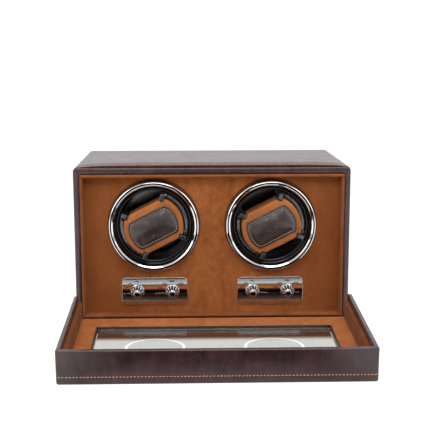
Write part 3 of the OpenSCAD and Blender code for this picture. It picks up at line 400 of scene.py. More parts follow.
class Shape:
    """Vertices and faces gathered from lofts, then made into one piece."""

    def __init__(self):
        self.verts, self.faces, self.count = [], [], 0

    def add(self, verts, faces):
        self.verts.append(np.asarray(verts, float))
        self.faces += [tuple(i + self.count for i in f) for f in faces]
        self.count += len(verts)
        return self

    def loft(self, loops, closed=False, caps=False, open_loops=False):
        """Skin over loops of equal length. closed joins the last to the first, caps closes the ends with faces,
        and open_loops leaves each loop open, with its two ends capped by the section."""
        n, m = len(loops[0]), len(loops)
        faces = []
        for i in range(m if closed else m - 1):
            a, b = i * n, (i + 1) % m * n
            for k in range(n - 1 if open_loops else n):
                j = (k + 1) % n
                faces.append((a + k, a + j, b + j, b + k))
        if caps:
            faces += [tuple(reversed(range(n))), tuple(range((m - 1) * n, m * n))]
        if open_loops and closed:
            faces += [tuple(i * n for i in range(m)), tuple(i * n + n - 1 for i in reversed(range(m)))]
        return self.add(np.concatenate(loops), faces)

    def moved(self, change):
        self.verts = [change(v) for v in self.verts]
        return self

    def piece(self, name, mat, body, slot, node=None, sharp=32, weld=0, ripple=None):
        """Makes the object; what rides on the lid is laid open. ripple is (height, length, seed, weight)."""
        bm = bmesh.new()
        made = [bm.verts.new(p) for p in np.concatenate(self.verts)]
        for f in self.faces:
            bm.faces.new([made[i] for i in f])
        if weld:
            bmesh.ops.remove_doubles(bm, verts=bm.verts, dist=weld)
        bmesh.ops.recalc_face_normals(bm, faces=bm.faces)
        if ripple:
            height, length, seed, weight = ripple
            bm.normal_update()
            for v in bm.verts:
                p = Vector((v.co.x / length + seed, v.co.y / length, v.co.z / length))
                v.co += v.normal * (height * weight(v.co) * (noise.noise(p) + 0.4 * noise.noise(p * 2.7)))
        if body == "lid":
            for v in bm.verts:
                v.co = laid(v.co)
        bmesh.ops.scale(bm, vec=(MM, MM, MM), verts=bm.verts)
        me = bpy.data.meshes.new(name)
        bm.to_mesh(me)
        bm.free()
        me.polygons.foreach_set("use_smooth", [True] * len(me.polygons))
        me.set_sharp_from_angle(angle=radians(sharp))
        ob = linked(name, me)
        me.materials.append(M[mat])
        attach(ob, body)
        if node:
            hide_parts(node)
        return ob


def mark_painted_dark(ob, value):
    """Gives each vertex its attribute "flute", the share of painted darkness on it; value takes the vertex's
    place in millimetres.
    """
    marks = ob.data.attributes.new("flute", "FLOAT", "POINT")
    for k, v in enumerate(ob.data.vertices):
        marks.data[k].value = value(*(c / MM for c in v.co))


def revolve(section, n):
    """Loops of n points round the Y axis through (r, y) points."""
    turn = [2 * pi * i / n for i in range(n)]
    return [[(r * cos(a), y, r * sin(a)) for a in turn] for r, y in section]


def lathe(section, n):
    return Shape().loft(revolve(section, n), closed=True)


def shifted(dx, dz):
    return lambda v: v + np.array([dx, 0, dz])


def tilted(v):
    """Turns front-view points so that the X axis rises to the right."""
    (x, y, z), c, s = v.T, cos(TILT), sin(TILT)
    return np.column_stack([x * c - z * s, y, x * s + z * c])


def laid(p):
    """A point of the closed lid, where the open lid has it."""
    c, s = cos(OPEN_ANGLE), sin(OPEN_ANGLE)
    y, z = p[1] - HINGE_Y, p[2] - HINGE_Z
    return (p[0], HINGE_Y + y * c - z * s, HINGE_Z + y * s + z * c)


def groove(loop, corners, depth):
    """Sinks the corner points of a loop, so that a mitred seam shows."""
    loop[corners, 1] += depth
    return loop


# A stitch is a plump capsule that dips into the leather at both ends: place along it, width, dip
CAPSULE = ((-1, 0.25, 0.55), (-0.86, 0.8, 0.3), (-0.5, 1, 0.06), (0, 1.05, 0), (0.5, 1, 0.06), (0.86, 0.8, 0.3),
           (1, 0.25, 0.55))
UNEVEN_TURN = 2.399


def stitches(path, normals, pitch=3.4, length=2.75, radius=0.52, slant=15, sink=0.1, closed=False):
    """A row of thread stitches along a path, as a Shape."""
    shape = Shape()
    if closed:
        path, normals = np.vstack([path, path[:1]]), np.vstack([normals, normals[:1]])
    step = np.linalg.norm(np.diff(path, axis=0), axis=1)
    run = np.concatenate([[0], np.cumsum(step)])
    count = int(round(run[-1] / pitch))
    for i in range(count):
        s = (i + 0.5) * run[-1] / count
        k = min(int(np.searchsorted(run, s, side="right")) - 1, len(step) - 1)
        t = (s - run[k]) / step[k]
        centre, up = mix(path[k], path[k + 1], t), mix(normals[k], normals[k + 1], t)
        up /= np.linalg.norm(up)
        along = (path[k + 1] - path[k]) / step[k]
        along -= up * along.dot(up)
        along /= np.linalg.norm(along)
        side = np.cross(up, along)
        a = radians(slant + 5 * sin(i * UNEVEN_TURN))
        along, side = along * cos(a) + side * sin(a), side * cos(a) - along * sin(a)
        loops = []
        for f, w, dip in CAPSULE:
            mid = centre + along * (f * length / 2) - up * (dip * radius * 2 + sink)
            loops.append([mid + (side * cos(q) + up * sin(q) * 0.85) * radius * w
                          for q in np.linspace(0, 2 * pi, 7)[:-1]])
        shape.loft(loops, caps=True)
    return shape


# ---------- case ----------

MID = ARCS // 2
CORNERS = [MID, ARCS + 1 + NX + MID, 2 * (ARCS + 1) + NX + NZ + MID, 3 * (ARCS + 1) + 2 * NX + NZ + MID]
TOP_CORNERS = CORNERS[2:]


def case_outer(y, inset):
    r = max(CORNER_R - inset, SHARP_R)
    return outline(y, HALF_W - inset, SILL_Z, CASE_H - inset, FOOT_R, r)


def padded_outer(y, rise, bulge):
    """A loop of the padded wrap: rise lifts the top between its ends, and bulge moves the sides out."""
    loop = case_outer(y, 0)
    for p in loop:
        high = smooth(CASE_H - 6, CASE_H - 0.5, p[2])
        p[2] += rise * high * (1 - (abs(p[0]) / HALF_W) ** 10)
        side = smooth(HALF_W - 6, HALF_W - 0.5, abs(p[0]))
        p[0] += copysign(bulge, p[0]) * side * smooth(SILL_Z, SILL_Z + 12, p[2])
    return loop


def case_frame(t, y):
    """A loop of the front frame's face, from the fold (t = 0) to the opening (t = 1)."""
    x = mix(HALF_W - FOLD_R, IN_X + MOUTH_R, t)
    z0, z1 = mix(SILL_Z, IN_Z0 - MOUTH_R, t), mix(CASE_H - FOLD_R, IN_Z1 + MOUTH_R, t)
    return outline(y, x, z0, z1, FOOT_R, mix(CORNER_R - FOLD_R, SHARP_R, t))


# How the padded wrap stands proud behind the front fold: y, rise of the top, bulge of the sides
WRAP = ((2.9, 0, 0), (3.1, -0.1, -0.08), (3.2, -0.55, -0.5), (3.6, -0.55, -0.5), (3.7, 0.1, 0),
        (3.75, 0.9, 0.25), (3.85, 1.7, 0.42), (4.1, 2.2, 0.5), (4.6, 2.5, 0.55), (5.6, 2.64, 0.6),
        (8.2, 2.7, 0.57), (8.9, 2.52, 0.46), (9.6, 2.34, 0.38), (10.3, 2.56, 0.46), (11, 2.78, 0.57),
        (13, 2.9, 0.6), (19, 3.1, 0.6), (21.6, 3.1, 0.6), (22.4, 2.7, 0.45), (23, 1.7, 0.3), (23.5, 1.7, 0.3),
        (23.9, 2.5, 0.45), (24.4, 3.05, 0.55), (25, 3.15, 0.6))


def build_case():
    def mouth(grow, y):
        return outline(y, IN_X + grow, IN_Z0 - grow, IN_Z1 + grow, FOOT_R, SHARP_R)
    loops = [mouth(0.02, PANEL_Y), mouth(0.02, 0.9)]
    loops += [mouth(x, y) for x, y in arc(MOUTH_R, MOUTH_R, MOUTH_R, 180, 270, 4)[1:-1]]
    for t in (1, 0.9, 0.78, 0.64, 0.5, 0.36, 0.22, 0.1, 0):
        loops.append(groove(case_frame(t, -0.28 * sin(pi * t)), CORNERS, 0.5))
    for x, y in arc(FOLD_R, FOLD_R, FOLD_R, 270, 180, 7)[1:]:
        loops.append(groove(case_outer(y, x), TOP_CORNERS, 0.35 * (1 - y / FOLD_R)))
    loops += [padded_outer(*row) for row in WRAP]
    for t in np.linspace(0.03, 0.97, 26):
        fall = 1 - smooth(0, 1, t)
        loops.append(padded_outer(25 + (CASE_D - 30.5) * t, 0.1 + 3.05 * fall, 0.1 + 0.5 * fall))
    seam = ((4.6, 0.04), (4.1, 0.14), (3.9, 0.5), (3.5, 0.5), (3.3, 0.08), (2.9, 0))
    loops += [case_outer(CASE_D - y, inset) for y, inset in seam]
    loops += [case_outer(y, x) for x, y in arc(FOLD_R, CASE_D - FOLD_R, FOLD_R, 180, 90, 5)]
    loops += [groove(case_frame(t, CASE_D), TOP_CORNERS, -0.4) for t in (0.35, 0.7, 1)]
    loops += [mouth(0.02, CASE_D - 0.7), mouth(0.02, CASE_D - 9)]

    def weight(p):
        edge = min(smooth(26, 40, p.y), smooth(9, 26, CASE_D - p.y))
        return max(edge * smooth(SILL_Z + 1, SILL_Z + 14, p.z), 0.35 * smooth(3.6, 2, p.y))
    Shape().loft(loops, closed=True).piece(
        "case_wrap", "leather_wrap", "case", "leather", "case_leather", ripple=(0.24, 30, 3.1, weight))
    keep = slice(CORNERS[1] + MID + 1, CORNERS[3] + MID + NZ + 1)
    path = padded_outer(STITCH_Y, 2.85, 0.5)[keep]
    out = outline(STITCH_Y, HALF_W + 1, SILL_Z, CASE_H + 1, FOOT_R, CORNER_R + 1) - case_outer(STITCH_Y, 0)
    # the case's stitches use the orange thread darkened, as painted shade
    stitches(path, out[keep]).piece("case_stitches", "thread_case_painted_shade", "case", "leather")


def base_loop(inset, z, r):
    plan = outline(z, HALF_W - inset, SILL_Y + inset, CASE_D - inset, r, r, nx=40, nz=26, spread0=SPREAD)
    return plan[:, [0, 2, 1]]


def build_base():
    low = arc(FOLD_R, FELT_T + FOLD_R, FOLD_R, 270, 180, 6)
    loops = [base_loop(inset, z, CORNER_R - inset * 0.98) for inset, z in low]
    loops += [base_loop(inset, z, CORNER_R - inset) for inset, z in arc(1.2, SILL_Z - 1.2, 1.2, 180, 90, 4)]
    Shape().loft(loops, caps=True).piece("base_wrap", "leather_dark_brown", "case", "leather", "base_board")


def build_collar():
    lip = COLLAR_T / 2
    steps = [PANEL_Y - k * 3 for k in range(4)]
    section = [(0, y) for y in steps] + arc(lip, lip - COLLAR_OUT, lip, 180, 360, 10)
    section += [(COLLAR_T, y) for y in reversed(steps)]
    loops = []
    for inset, y in section:
        r = 0.3 if inset < lip else 0.5
        loop = outline(y, IN_X - inset, IN_Z0 + inset, IN_Z1 - inset, r, r, spread0=1.2, spread=1.2)
        if y < PANEL_Y - 0.1:
            for k in CORNERS:
                loop[k, 1] += 0.35
                out = np.sign([loop[k, 0], 0, loop[k, 2] - CASE_H / 2])
                loop[k] += out * (0.25 if inset > lip else -0.2)
        loops.append(loop)
    # the collar's suede is a darker copy of the tan suede, as painted shade
    Shape().loft(loops, closed=True).piece(
        "collar_suede", "suede_collar_painted_shade", "case", "suede", "collar", sharp=40,
        ripple=(0.16, 11, 7.7, lambda p: smooth(PANEL_Y, PANEL_Y - 4, p.y) if p.y < PANEL_Y else 0))


# ---------- rotors ----------

def at_rotor(shape, side, turn=False):
    if turn:
        shape.moved(tilted)
    return shape.moved(shifted(SIDES[side] * ROTOR_X, ROTOR_Z))


def build_bezel(side):
    """A chrome ring with a fine dark line painted on its crest, a painted reflection."""
    inner = BEZEL_R - BEZEL_W
    section = [(inner, PANEL_Y)] + [(inner + x, y) for x, y in (
        (0, -0.9), (0.12, -1.5), (0.35, -1.85), (0.8, -2.1), (1.4, -2.4), (1.9, -2.66), (2.15, -2.77),
        (2.35, -2.82), (2.75, -2.85), (3.3, -2.86), (3.75, -2.84), (3.95, -2.78), (4.2, -2.66), (4.6, -2.42),
        (4.95, -2.14), (5.2, -1.8), (5.42, -1.3), (5.5, -0.7), (5.5, PANEL_Y))]
    ring = lathe(section, 256).moved(shifted(0, -BEZEL_DROP))
    ob = at_rotor(ring, side).piece(f"bezel_ring_{side}", "chrome_ring", "case", "chrome", f"bezel_{side}")

    # painted dark reflection: a fine line round the ring's crest
    def crest(x, y, z):
        r = hypot(x - SIDES[side] * ROTOR_X, z - ROTOR_Z + BEZEL_DROP) - inner
        return 0.9 if 2.3 < r < 3.8 and y < 0 else 0
    mark_painted_dark(ob, crest)


def build_sleeve(side):
    front, outer = PANEL_Y - BEZEL_W / 2, BEZEL_R - BEZEL_W
    section = [(outer - 0.05, front + SLEEVE_L), (outer - 0.05, front + 0.3)]
    section += arc(outer - 0.45, front + 0.45, 0.4, 0, -90, 3)
    section += [(outer - 1.2, front + 0.5)] + arc(SLEEVE_R + 0.5, front + 1.6, 0.5, 270, 180, 4)
    section += [(SLEEVE_R, front + 8), (SLEEVE_R, front + SLEEVE_L)]
    at_rotor(lathe(section, 192), side).piece(
        f"sleeve_{side}", "plastic_black", "case", "black_plastic", f"bezel_sleeve_{side}")


def build_cup(side):
    lip = (CUP_R - CUP_IN_R) / 2
    section = [(SHAFT_HOLE_R, CUP_FLOOR_Y), (12, CUP_FLOOR_Y), (30, CUP_FLOOR_Y)]
    section += arc(CUP_IN_R - 2.5, CUP_FLOOR_Y - 2.5, 2.5, 90, 0, 5)
    section += [(CUP_IN_R, 30), (CUP_IN_R, CUP_Y + lip + 0.4)]
    section += arc(CUP_IN_R + lip, CUP_Y + lip, lip, 180, 360, 14)
    section += [(CUP_R, 20), (CUP_R, CUP_BACK_Y - 1)] + arc(CUP_R - 1, CUP_BACK_Y - 1, 1, 0, 90, 3)
    section += [(CUP_BOSS_R, CUP_BACK_Y), (CUP_BOSS_R, CUP_BACK_Y + 3), (SHAFT_HOLE_R, CUP_BACK_Y + 3)]
    at_rotor(lathe(section, 192), side).piece(
        f"cup_shell_{side}", "plastic_black", f"rotor_{side}", "black_plastic", f"cup_{side}")


def clip(shape, angle, r0, r1, half, front, back):
    """A small moulded block with rounded front edges, from radius r0 to r1 and half wide to each side."""
    a = radians(angle)
    radial, along = np.array([cos(a), 0, sin(a)]), np.array([-sin(a), 0, cos(a)])
    centre, long_half = radial * (r0 + r1) / 2, (r1 - r0) / 2
    e = min(half, long_half, 0.9) * 0.8
    loops = []
    for y, inset in ((back, 0), (front + e, 0), (front + 0.3 * e, 0.3 * e), (front, e),
                     (front - 0.02, 1.8 * e)):
        w, h = max(long_half - inset, 0.05), max(half - inset, 0.05)
        r = min(e, w, h) * 0.9
        loops.append(centre + outline(y, w, -h, h, r, r, 2, 2, 4) @ [radial, (0, 1, 0), along])
    shape.loft(loops, caps=True)


def build_holder(side):
    """Disc with two curved arms that grip the cushion's round ends. Each edge of an arm has a clip that laps
    the pad's corner, a tooth beside it and a rib further in."""
    disc = [(6, CUP_FLOOR_Y), (6, 55.4), (30, 55.4), *arc(ARM_OUT_R - 0.6, 56, 0.6, 270, 360, 3),
            (ARM_OUT_R, CUP_FLOOR_Y)]
    shape = lathe(disc, 128)
    wall = [(ARM_IN_R, ARM_BACK_Y), (ARM_IN_R, 30), (ARM_IN_R, ARM_Y + 0.7), (ARM_IN_R + 0.25, ARM_Y + 0.2),
            *arc(ARM_IN_R + 0.7, ARM_Y + 6.2, 6.2, 270, 323, 10), (ARM_OUT_R, 30), (ARM_OUT_R, ARM_BACK_Y)]
    for base in (0, 180):
        loops = []
        for i in range(49):
            a = radians(base - ARM_ANGLE + 2 * ARM_ANGLE * i / 48)
            end = 0.5 if i in (0, 48) else 0
            loops.append([(r * cos(a), y + (end if y < 8 else 0), r * sin(a)) for r, y in wall])
        shape.loft(loops, caps=True)
        for s in (-1, 1):
            clip(shape, base + s * CLIP_ANGLE, 30.9, ARM_OUT_R - 0.2, 2.5, PAD_Y0 + 1.4, 12)
            clip(shape, base + s * TOOTH_ANGLE, ARM_IN_R + 0.2, ARM_OUT_R - 0.3, 1.3, -3, 12)
            clip(shape, base + s * RIB_ANGLE, ARM_IN_R + 2.4, ARM_OUT_R - 0.1, 0.4, 3.4, 16)
    at_rotor(shape, side, True).piece(
        f"holder_{side}", "plastic_black_gloss", f"rotor_{side}", "black_plastic", f"cuff_holder_{side}")


def cuff_ring(r, h, y, power=24, scale=1, notch=None):
    """Outline of a round-ended pad: a circle of radius r between two straight sides at h, its corners nicked to
    notch under the clips."""
    points = []
    for i in range(240):
        a = 2 * pi * i / 240
        s = abs(sin(a)) / h
        reach = (r ** -power + s ** power) ** (-1 / power)
        if notch:
            off = abs(degrees(asin(abs(sin(a)))) - CLIP_ANGLE)
            reach = min(reach, notch + (reach - notch) * smooth(4.9, 6.6, off))
        reach *= scale
        points.append((reach * cos(a), y, reach * sin(a)))
    return np.array(points)


def pad_ring(x, z, y, scale=1):
    return cuff_ring(PAD_R - x, PAD_H - z, y, scale=scale, notch=NOTCH_R - x)


def patch_ring(along, across, lift, crown=0):
    """Loop of the cushion's patch: shares of its length and width, and how far it lifts above its thickness."""
    ring = cuff_ring(PATCH_R * along, PATCH_H * across, 0, power=34)
    reach = np.hypot(ring[:, 0] / (PAD_R - PAD_EDGE), ring[:, 2] / (PAD_H - PAD_EDGE_Z))
    ring[:, 1] = [PAD_Y0 + PAD_CROWN * min(q, 1) ** 3.2 * 0.85 - PATCH_T - lift for q in reach]
    u, v = ring[:, 0] / (0.85 * PATCH_R), ring[:, 2] / (0.76 * PATCH_H)
    ring[:, 1] -= crown * np.clip(1 - v ** 2, 0, 1) * np.clip(1 - u ** 4, 0, 1)
    return ring


# The patch's rolled rim, with the groove for its stitches
PATCH_RIM = ((1, 1, -1.45), (1, 1, -0.7), (0.995, 0.99, -0.4), (0.975, 0.96, -0.08), (0.95, 0.925, 0),
             (0.93, 0.89, -0.06), (0.915, 0.86, -0.42), (0.895, 0.83, -0.5), (0.875, 0.8, -0.38),
             (0.85, 0.76, 0.1))


def build_cushion(side):
    body, waist = f"pad_{side}", PAD_Y1 - 4.5
    loops = [pad_ring(6, 6, PAD_Y1), pad_ring(3, 3, PAD_Y1 - 0.4), pad_ring(0.9, 0.9, PAD_Y1 - 2),
             pad_ring(0.3, 0.2, waist)]
    for t in np.linspace(0.12, 0.88, 9):
        pinch = 1.1 * sin(pi * t)
        loops.append(pad_ring(0.25 + 0.2 * pinch, 0.1 + pinch, mix(waist, PAD_Y0 + 5, t)))
    front = arc(PAD_EDGE, PAD_Y0 + PAD_CROWN + PAD_EDGE, PAD_EDGE, 180, 262, 7)
    loops += [pad_ring(0.25 + x, x, y) for x, y in front]
    loops += [pad_ring(PAD_EDGE, PAD_EDGE_Z, PAD_Y0 + PAD_CROWN * k ** 3.2, k)
              for k in (0.93, 0.84, 0.74, 0.62, 0.48, 0.34, 0.2, 0.08)]
    ob = at_rotor(Shape().loft(loops, caps=True), side, True).piece(
        f"cushion_pad_{side}", "suede_cushion", body, "cushion_suede", f"cushion_{side}", sharp=60,
        ripple=(0.35, 12, 5 + SIDES[side], lambda p: smooth(PAD_Y1, PAD_Y1 - 8, p.y)))

    middle = (0.8, 0.74, 0.67, 0.59, 0.5, 0.4, 0.3, 0.2, 0.1, 0.03)
    loops = [patch_ring(*step) for step in PATCH_RIM]
    loops += [patch_ring(k, k * 0.93, 0.1, PATCH_CROWN) for k in middle]
    ob = at_rotor(Shape().loft(loops, caps=True), side, True).piece(
        f"patch_pad_{side}", "leather_patch", body, "leather", f"cushion_patch_{side}", sharp=60,
        ripple=(0.3, 8, 11 + SIDES[side], lambda p: 1))
    line = patch_ring(0.905, 0.845, -0.32)
    row = stitches(line, np.tile([0, -1, 0], (len(line), 1)), 3, 1.8, 0.36, 8, -0.12, closed=True)
    at_rotor(row, side, True).piece(f"patch_stitches_{side}", "thread_pale", body, "leather")


# ---------- controls ----------

def curve_mesh(curve):
    """Points, in millimetres, and faces of what a curve draws. The curve is removed."""
    ob = linked(curve.name, curve)
    bpy.context.view_layer.update()
    me = bpy.data.meshes.new_from_object(ob.evaluated_get(bpy.context.evaluated_depsgraph_get()))
    verts = [tuple(c / MM for c in v.co) for v in me.vertices]
    faces = [tuple(p.vertices) for p in me.polygons]
    bpy.data.objects.remove(ob)
    bpy.data.curves.remove(curve)
    bpy.data.meshes.remove(me)
    return verts, faces


def build_plate(side):
    """A pressed mirror plate. Its face is drawn flat, and shades as the faintly rolled pressing that it is."""
    bevel = 0.4
    curve = bpy.data.curves.new("plate", "CURVE")
    curve.dimensions, curve.fill_mode = "2D", "BOTH"
    curve.extrude, curve.bevel_depth, curve.bevel_resolution = (PLATE_HALF_T - bevel) * MM, bevel * MM, 3
    half = PLATE_H / 2 - bevel
    edge = outline(0, PLATE_W / 2 - bevel, -half, half, PLATE_R, PLATE_R, 1, 1, 12)
    for loop in [edge[:, ::2]] + [arc(s * KNOB_X, 0, PLATE_HOLE_R + bevel, 0, 360, 48)[:-1] for s in (-1, 1)]:
        spline = curve.splines.new("POLY")
        spline.points.add(len(loop) - 1)
        spline.use_cyclic_u = True
        for point, (x, z) in zip(spline.points, loop):
            point.co = (x * MM, z * MM, 0, 1)
    verts, faces = curve_mesh(curve)
    verts = [(SIDES[side] * ROTOR_X + x, PLATE_Y + PLATE_HALF_T - z, PLATE_Z + y) for x, y, z in verts]
    Shape().add(verts, faces).piece(
        f"plate_{side}", "chrome_plate", "case", "chrome", f"control_plate_{side}", sharp=28, weld=0.001)


def flute(a):
    """How deep a knob is cut at angle a: 1 in the middle of a flute."""
    return 0.5 + 0.5 * cos(FLUTES * a)


def build_knob(side, place, name):
    cx = SIDES[side] * ROTOR_X + place * KNOB_X
    waist = KNOB_R - 0.6
    # radius, height, share of the flutes' full depth
    sections = [(3.6, 0, 0), (KNOB_R - 0.3, 0, 0), (KNOB_R, -0.3, 0), (KNOB_R, -1.3, 0),
                (KNOB_R - 0.3, -1.6, 0), (KNOB_R - 0.75, -1.65, 0), (waist, -1.9, 0.5), (waist, -2.4, 1)]
    for a in (12, 24, 35, 45, 53, 60, 66, 71):
        a = radians(a)
        cut = min(1, max(0, (1.24 - a) * 2.2))
        sections.append((waist * cos(a) ** 0.85, -2.4 - (KNOB_L - 2.6) * sin(a) ** 1.15, cut))
    r0, y0, _ = sections[-1]
    sections += [(r0 * t, y0 - 0.42 * (1 - t * t), 0) for t in (0.86, 0.7, 0.5, 0.28, 0.08)]
    loops = []
    for r, y, cut in sections:
        loops.append([])
        for i in range(FLUTES * 12):
            a = 2 * pi * i / (FLUTES * 12)
            reach = r - 0.2 * r * cut * flute(a) ** 1.2
            # the nose is a small flat that looks slightly down
            drop = 0.26 * r * sin(a) if r < 2.75 else 0
            loops[-1].append((reach * cos(a), KNOB_Y + y - drop, reach * sin(a)))
    front, back = KNOB_Y - 3, 22
    spindle = revolve([(0.5, front), (SPINDLE_R, front), (SPINDLE_R, back), (0.5, back)], 48)
    shape = Shape().loft(loops, caps=True).loft(spindle, closed=True).moved(shifted(cx, PLATE_Z))
    ob = shape.piece(
        f"knob_body_{side}_{name}", "chrome_knob", f"selector_{side}_{name}", "chrome", f"knob_{side}_{name}")

    # painted shade in the flutes' valleys, and a painted dark reflection on the lower part of the nose
    def shade(x, y, z):
        x, y, z = x - cx, y - KNOB_Y, z - PLATE_Z
        if y >= -1.8:
            return 0
        return flute(atan2(z, x)) if hypot(x, z) > 2.7 else float(z < 1.2)
    mark_painted_dark(ob, shade)


def build_marks(side):
    """Plain printed marks: arrows and a nought by the direction knob, turn numbers by the other."""
    shape = Shape()

    def flat(points, cx, cz):
        shape.loft([[(cx + x, PLATE_Y + y, cz + z) for x, z in points] for y in (-0.04, 0.02)], caps=True)

    def letters(text, cx, cz):
        curve = bpy.data.curves.new("figures", "FONT")
        curve.body, curve.size, curve.align_x, curve.align_y = text, 3.7 * MM, "CENTER", "CENTER"
        curve.extrude, curve.resolution_u, curve.offset = 0.03 * MM, 3, 0.09 * MM
        verts, faces = curve_mesh(curve)
        shape.add([(cx + x, PLATE_Y - 0.02 - z, cz + y) for x, y, z in verts], faces)

    def arrow(cx, cz, *ways):
        """A bent stroke that ends in a head at each of its ways: -1 left, 1 right."""
        r, half, drop = 1.9, 0.45, 0.8
        ring = arc(0, -drop, r + half, 25, 155, 11) + arc(0, -drop, r - half, 155, 25, 11)
        flat(ring, cx, cz)
        for s in ways:
            x, z = s * r * cos(radians(20)), r * sin(radians(20)) - drop
            flat([(x - 0.85, z + 0.25), (x + s * 0.25, z - 1.15), (x + 0.85, z + 0.25)], cx, cz)

    left, right = (SIDES[side] * ROTOR_X + s * KNOB_X for s in (-1, 1))
    letters("0", left - 14, PLATE_Z - 3.8)
    arrow(left - 11.8, PLATE_Z + 3.8, -1)
    arrow(left - 7.9, PLATE_Z + 8.4, -1, 1)
    arrow(left - 0.8, PLATE_Z + 11, 1)
    for x, z, text in ((-15.6, -3.8, "0"), (-14.2, 3.8, "500"), (-9.2, 8.6, "650"), (-0.4, 11.6, "800"),
                       (9.4, 8.6, "1000")):
        letters(text, right + x, PLATE_Z + z)
    shape.piece(f"marks_{side}", "ink_dark", "case", "switch_plastic")


# ---------- lid ----------

U_FIRST = 2 * (ARCS + 1) + NX - 1


def u_part(loop):
    """The lid's three walled sides of a loop: up the right, along the top, down the left."""
    return np.vstack([loop[U_FIRST:], loop[:1]])


def lid_ring(inset, y):
    r = max(LID_R - inset, SHARP_R)
    return outline(y, LID_X - inset, LID_Z0, LID_Z1 - inset, 0, r)


def window_ring(grow, y, t=1):
    """Loop round the window, grown by grow; t under 1 moves it towards the lid's outer face edge."""
    x = mix(LID_X - LID_R, WIN_X + grow, t)
    z0, z1 = mix(LID_Z0, WIN_Z0 - grow, t), mix(LID_Z1 - LID_R, WIN_Z1 + grow, t)
    return outline(y, x, z0, z1, 0, SHARP_R, spread0=mix(TIGHT, SPREAD, t))


def build_lid():
    fold, turn = 1.3, 0.7
    rows = arc(LID_R, LID_Y0 + LID_R, LID_R, 270, 180, 9)
    rows += [(0, -28.4), (0.1, -27.7), (0.22, -27.1), (0.1, -26.5), (0, -25.8)]
    loops = [lid_ring(*row) for row in rows + [(0, y) for y in (-22, -18, -14, -10, -6)]]
    for x, y in arc(fold, LID_Y1 - fold, fold, 180, 90, 6):
        loops.append(groove(lid_ring(x, y), TOP_CORNERS, -0.3 * (x / fold)))
    for t in (0.33, 0.66, 1):
        rim = lid_ring(fold + (RIM_W - turn - fold) * t, LID_Y1 + 0.06 * sin(pi * t))
        loops.append(groove(rim, TOP_CORNERS, -0.4))
    rows = arc(RIM_W - turn, LID_Y1 - turn, turn, 90, 0, 4)[1:]
    rows += [(RIM_W, -4), (RIM_W + 0.02, TURN_IN_Y - 0.1), (RIM_W + 0.7, TURN_IN_Y - 0.6), (RIM_W + 0.7, -33.4),
             (LID_R + 0.4, -34.2)]
    loops += [lid_ring(*row) for row in rows]
    shape = Shape().loft([u_part(loop) for loop in loops], closed=True, open_loops=True)
    face = [window_ring(0, LID_Y0, 0)]
    face += [window_ring(WIN_EDGE_R, LID_Y0, t) for t in (0.15, 0.35, 0.55, 0.75, 0.9, 1)]
    face += [window_ring(x, y) for x, y in arc(WIN_EDGE_R, LID_Y0 + WIN_EDGE_R, WIN_EDGE_R, 270, 180, 4)[1:]]
    shape.loft(face + [window_ring(0, GLASS_Y + 0.02)])
    # the low edge, under the window
    strip = lid_ring(LID_R, LID_Y0)[:U_FIRST + 1]
    inner = strip.copy()
    inner[:, 1] = PANEL_IN_Y - 0.1
    shape.loft([strip, inner], open_loops=True)

    def weight(p):
        depth = min(smooth(LID_Y0 + 9, LID_Y0 + 13, p.y), smooth(LID_Y1 - 2, LID_Y1 - 8, p.y))
        return depth * float(abs(p.x) > LID_X - 1 or p.z > LID_Z1 - 1)
    shape.piece("lid_wrap", "leather_dark_brown", "lid", "leather", "lid_leather", weld=0.004,
                ripple=(0.2, 30, 9.4, weight))

    y = LID_Y0 + LID_STITCH_IN
    keep = u_part(lid_ring(0.1, y))
    out = u_part(outline(y, LID_X + 1, LID_Z0, LID_Z1 + 1, 0, LID_R + 1)) - keep
    stitches(keep, out).piece("lid_stitches", "thread_orange", "lid", "leather")


def build_linings():
    soft, bead = 1.1, 1.5
    x_out, z_out = LID_X - RIM_W + 0.7, LID_Z1 - RIM_W + 0.7

    def ring(t, y, grow):
        x = mix(x_out, WIN_X + grow, t)
        z0, z1 = mix(LINING_Z0, WIN_Z0 - grow, t), mix(z_out, WIN_Z1 + grow, t)
        return outline(y, x, z0, z1, SHARP_R, SHARP_R, spread0=SPREAD)
    loops = [ring(0, PANEL_IN_Y, 0), ring(0, LINING_Y, 0)]
    loops += [ring(t, LINING_Y, bead + soft) for t in (0.12, 0.25, 0.4, 0.55, 0.7, 0.85, 0.95, 1)]
    loops += [ring(1, y, x) for x, y in arc(bead + soft, LINING_Y - soft, soft, 90, 180, 5)[1:]]
    loops.append(ring(1, PANEL_IN_Y, bead))
    for loop in loops[3:9]:
        groove(loop, CORNERS, -0.35)

    def weight(p):
        inside = abs(p.x) < LINING_X - 3 and LID_Z0 + 4 < p.z < LINING_Z - 3
        return float(inside and p.y > PANEL_IN_Y + 0.3)
    Shape().loft(loops, closed=True).piece(
        "floor_lining", "suede_tan", "lid", "suede", "lid_floor_lining", 40, ripple=(0.22, 14, 2.2, weight))

    thick = x_out - LINING_X
    section = [(0, LINING_Y), (0, TURN_IN_Y)] + arc(thick - 1.6, TURN_IN_Y - 1.6, 1.6, 90, 0, 6)
    section += [(thick, y) for y in (-11, -15, -19, -23, LINING_Y)]
    loops = [u_part(outline(y, x_out - x, LINING_Z0, z_out - x, 0, SHARP_R)) for x, y in section]
    for loop in loops[3:]:
        for k in TOP_CORNERS:
            tip = loop[k - U_FIRST]
            tip += (np.sign(tip[0]) * 0.4, 0, 0.4)
    # the wall lining's suede is a darker copy of the tan suede, as painted shade
    Shape().loft(loops, closed=True, open_loops=True).piece(
        "wall_lining", "suede_lid_walls_painted_shade", "lid", "suede", "lid_wall_lining", sharp=40,
        ripple=(0.2, 12, 4.4, lambda p: float(abs(p.x) < LINING_X + 0.6 and p.z < LINING_Z + 0.6)))


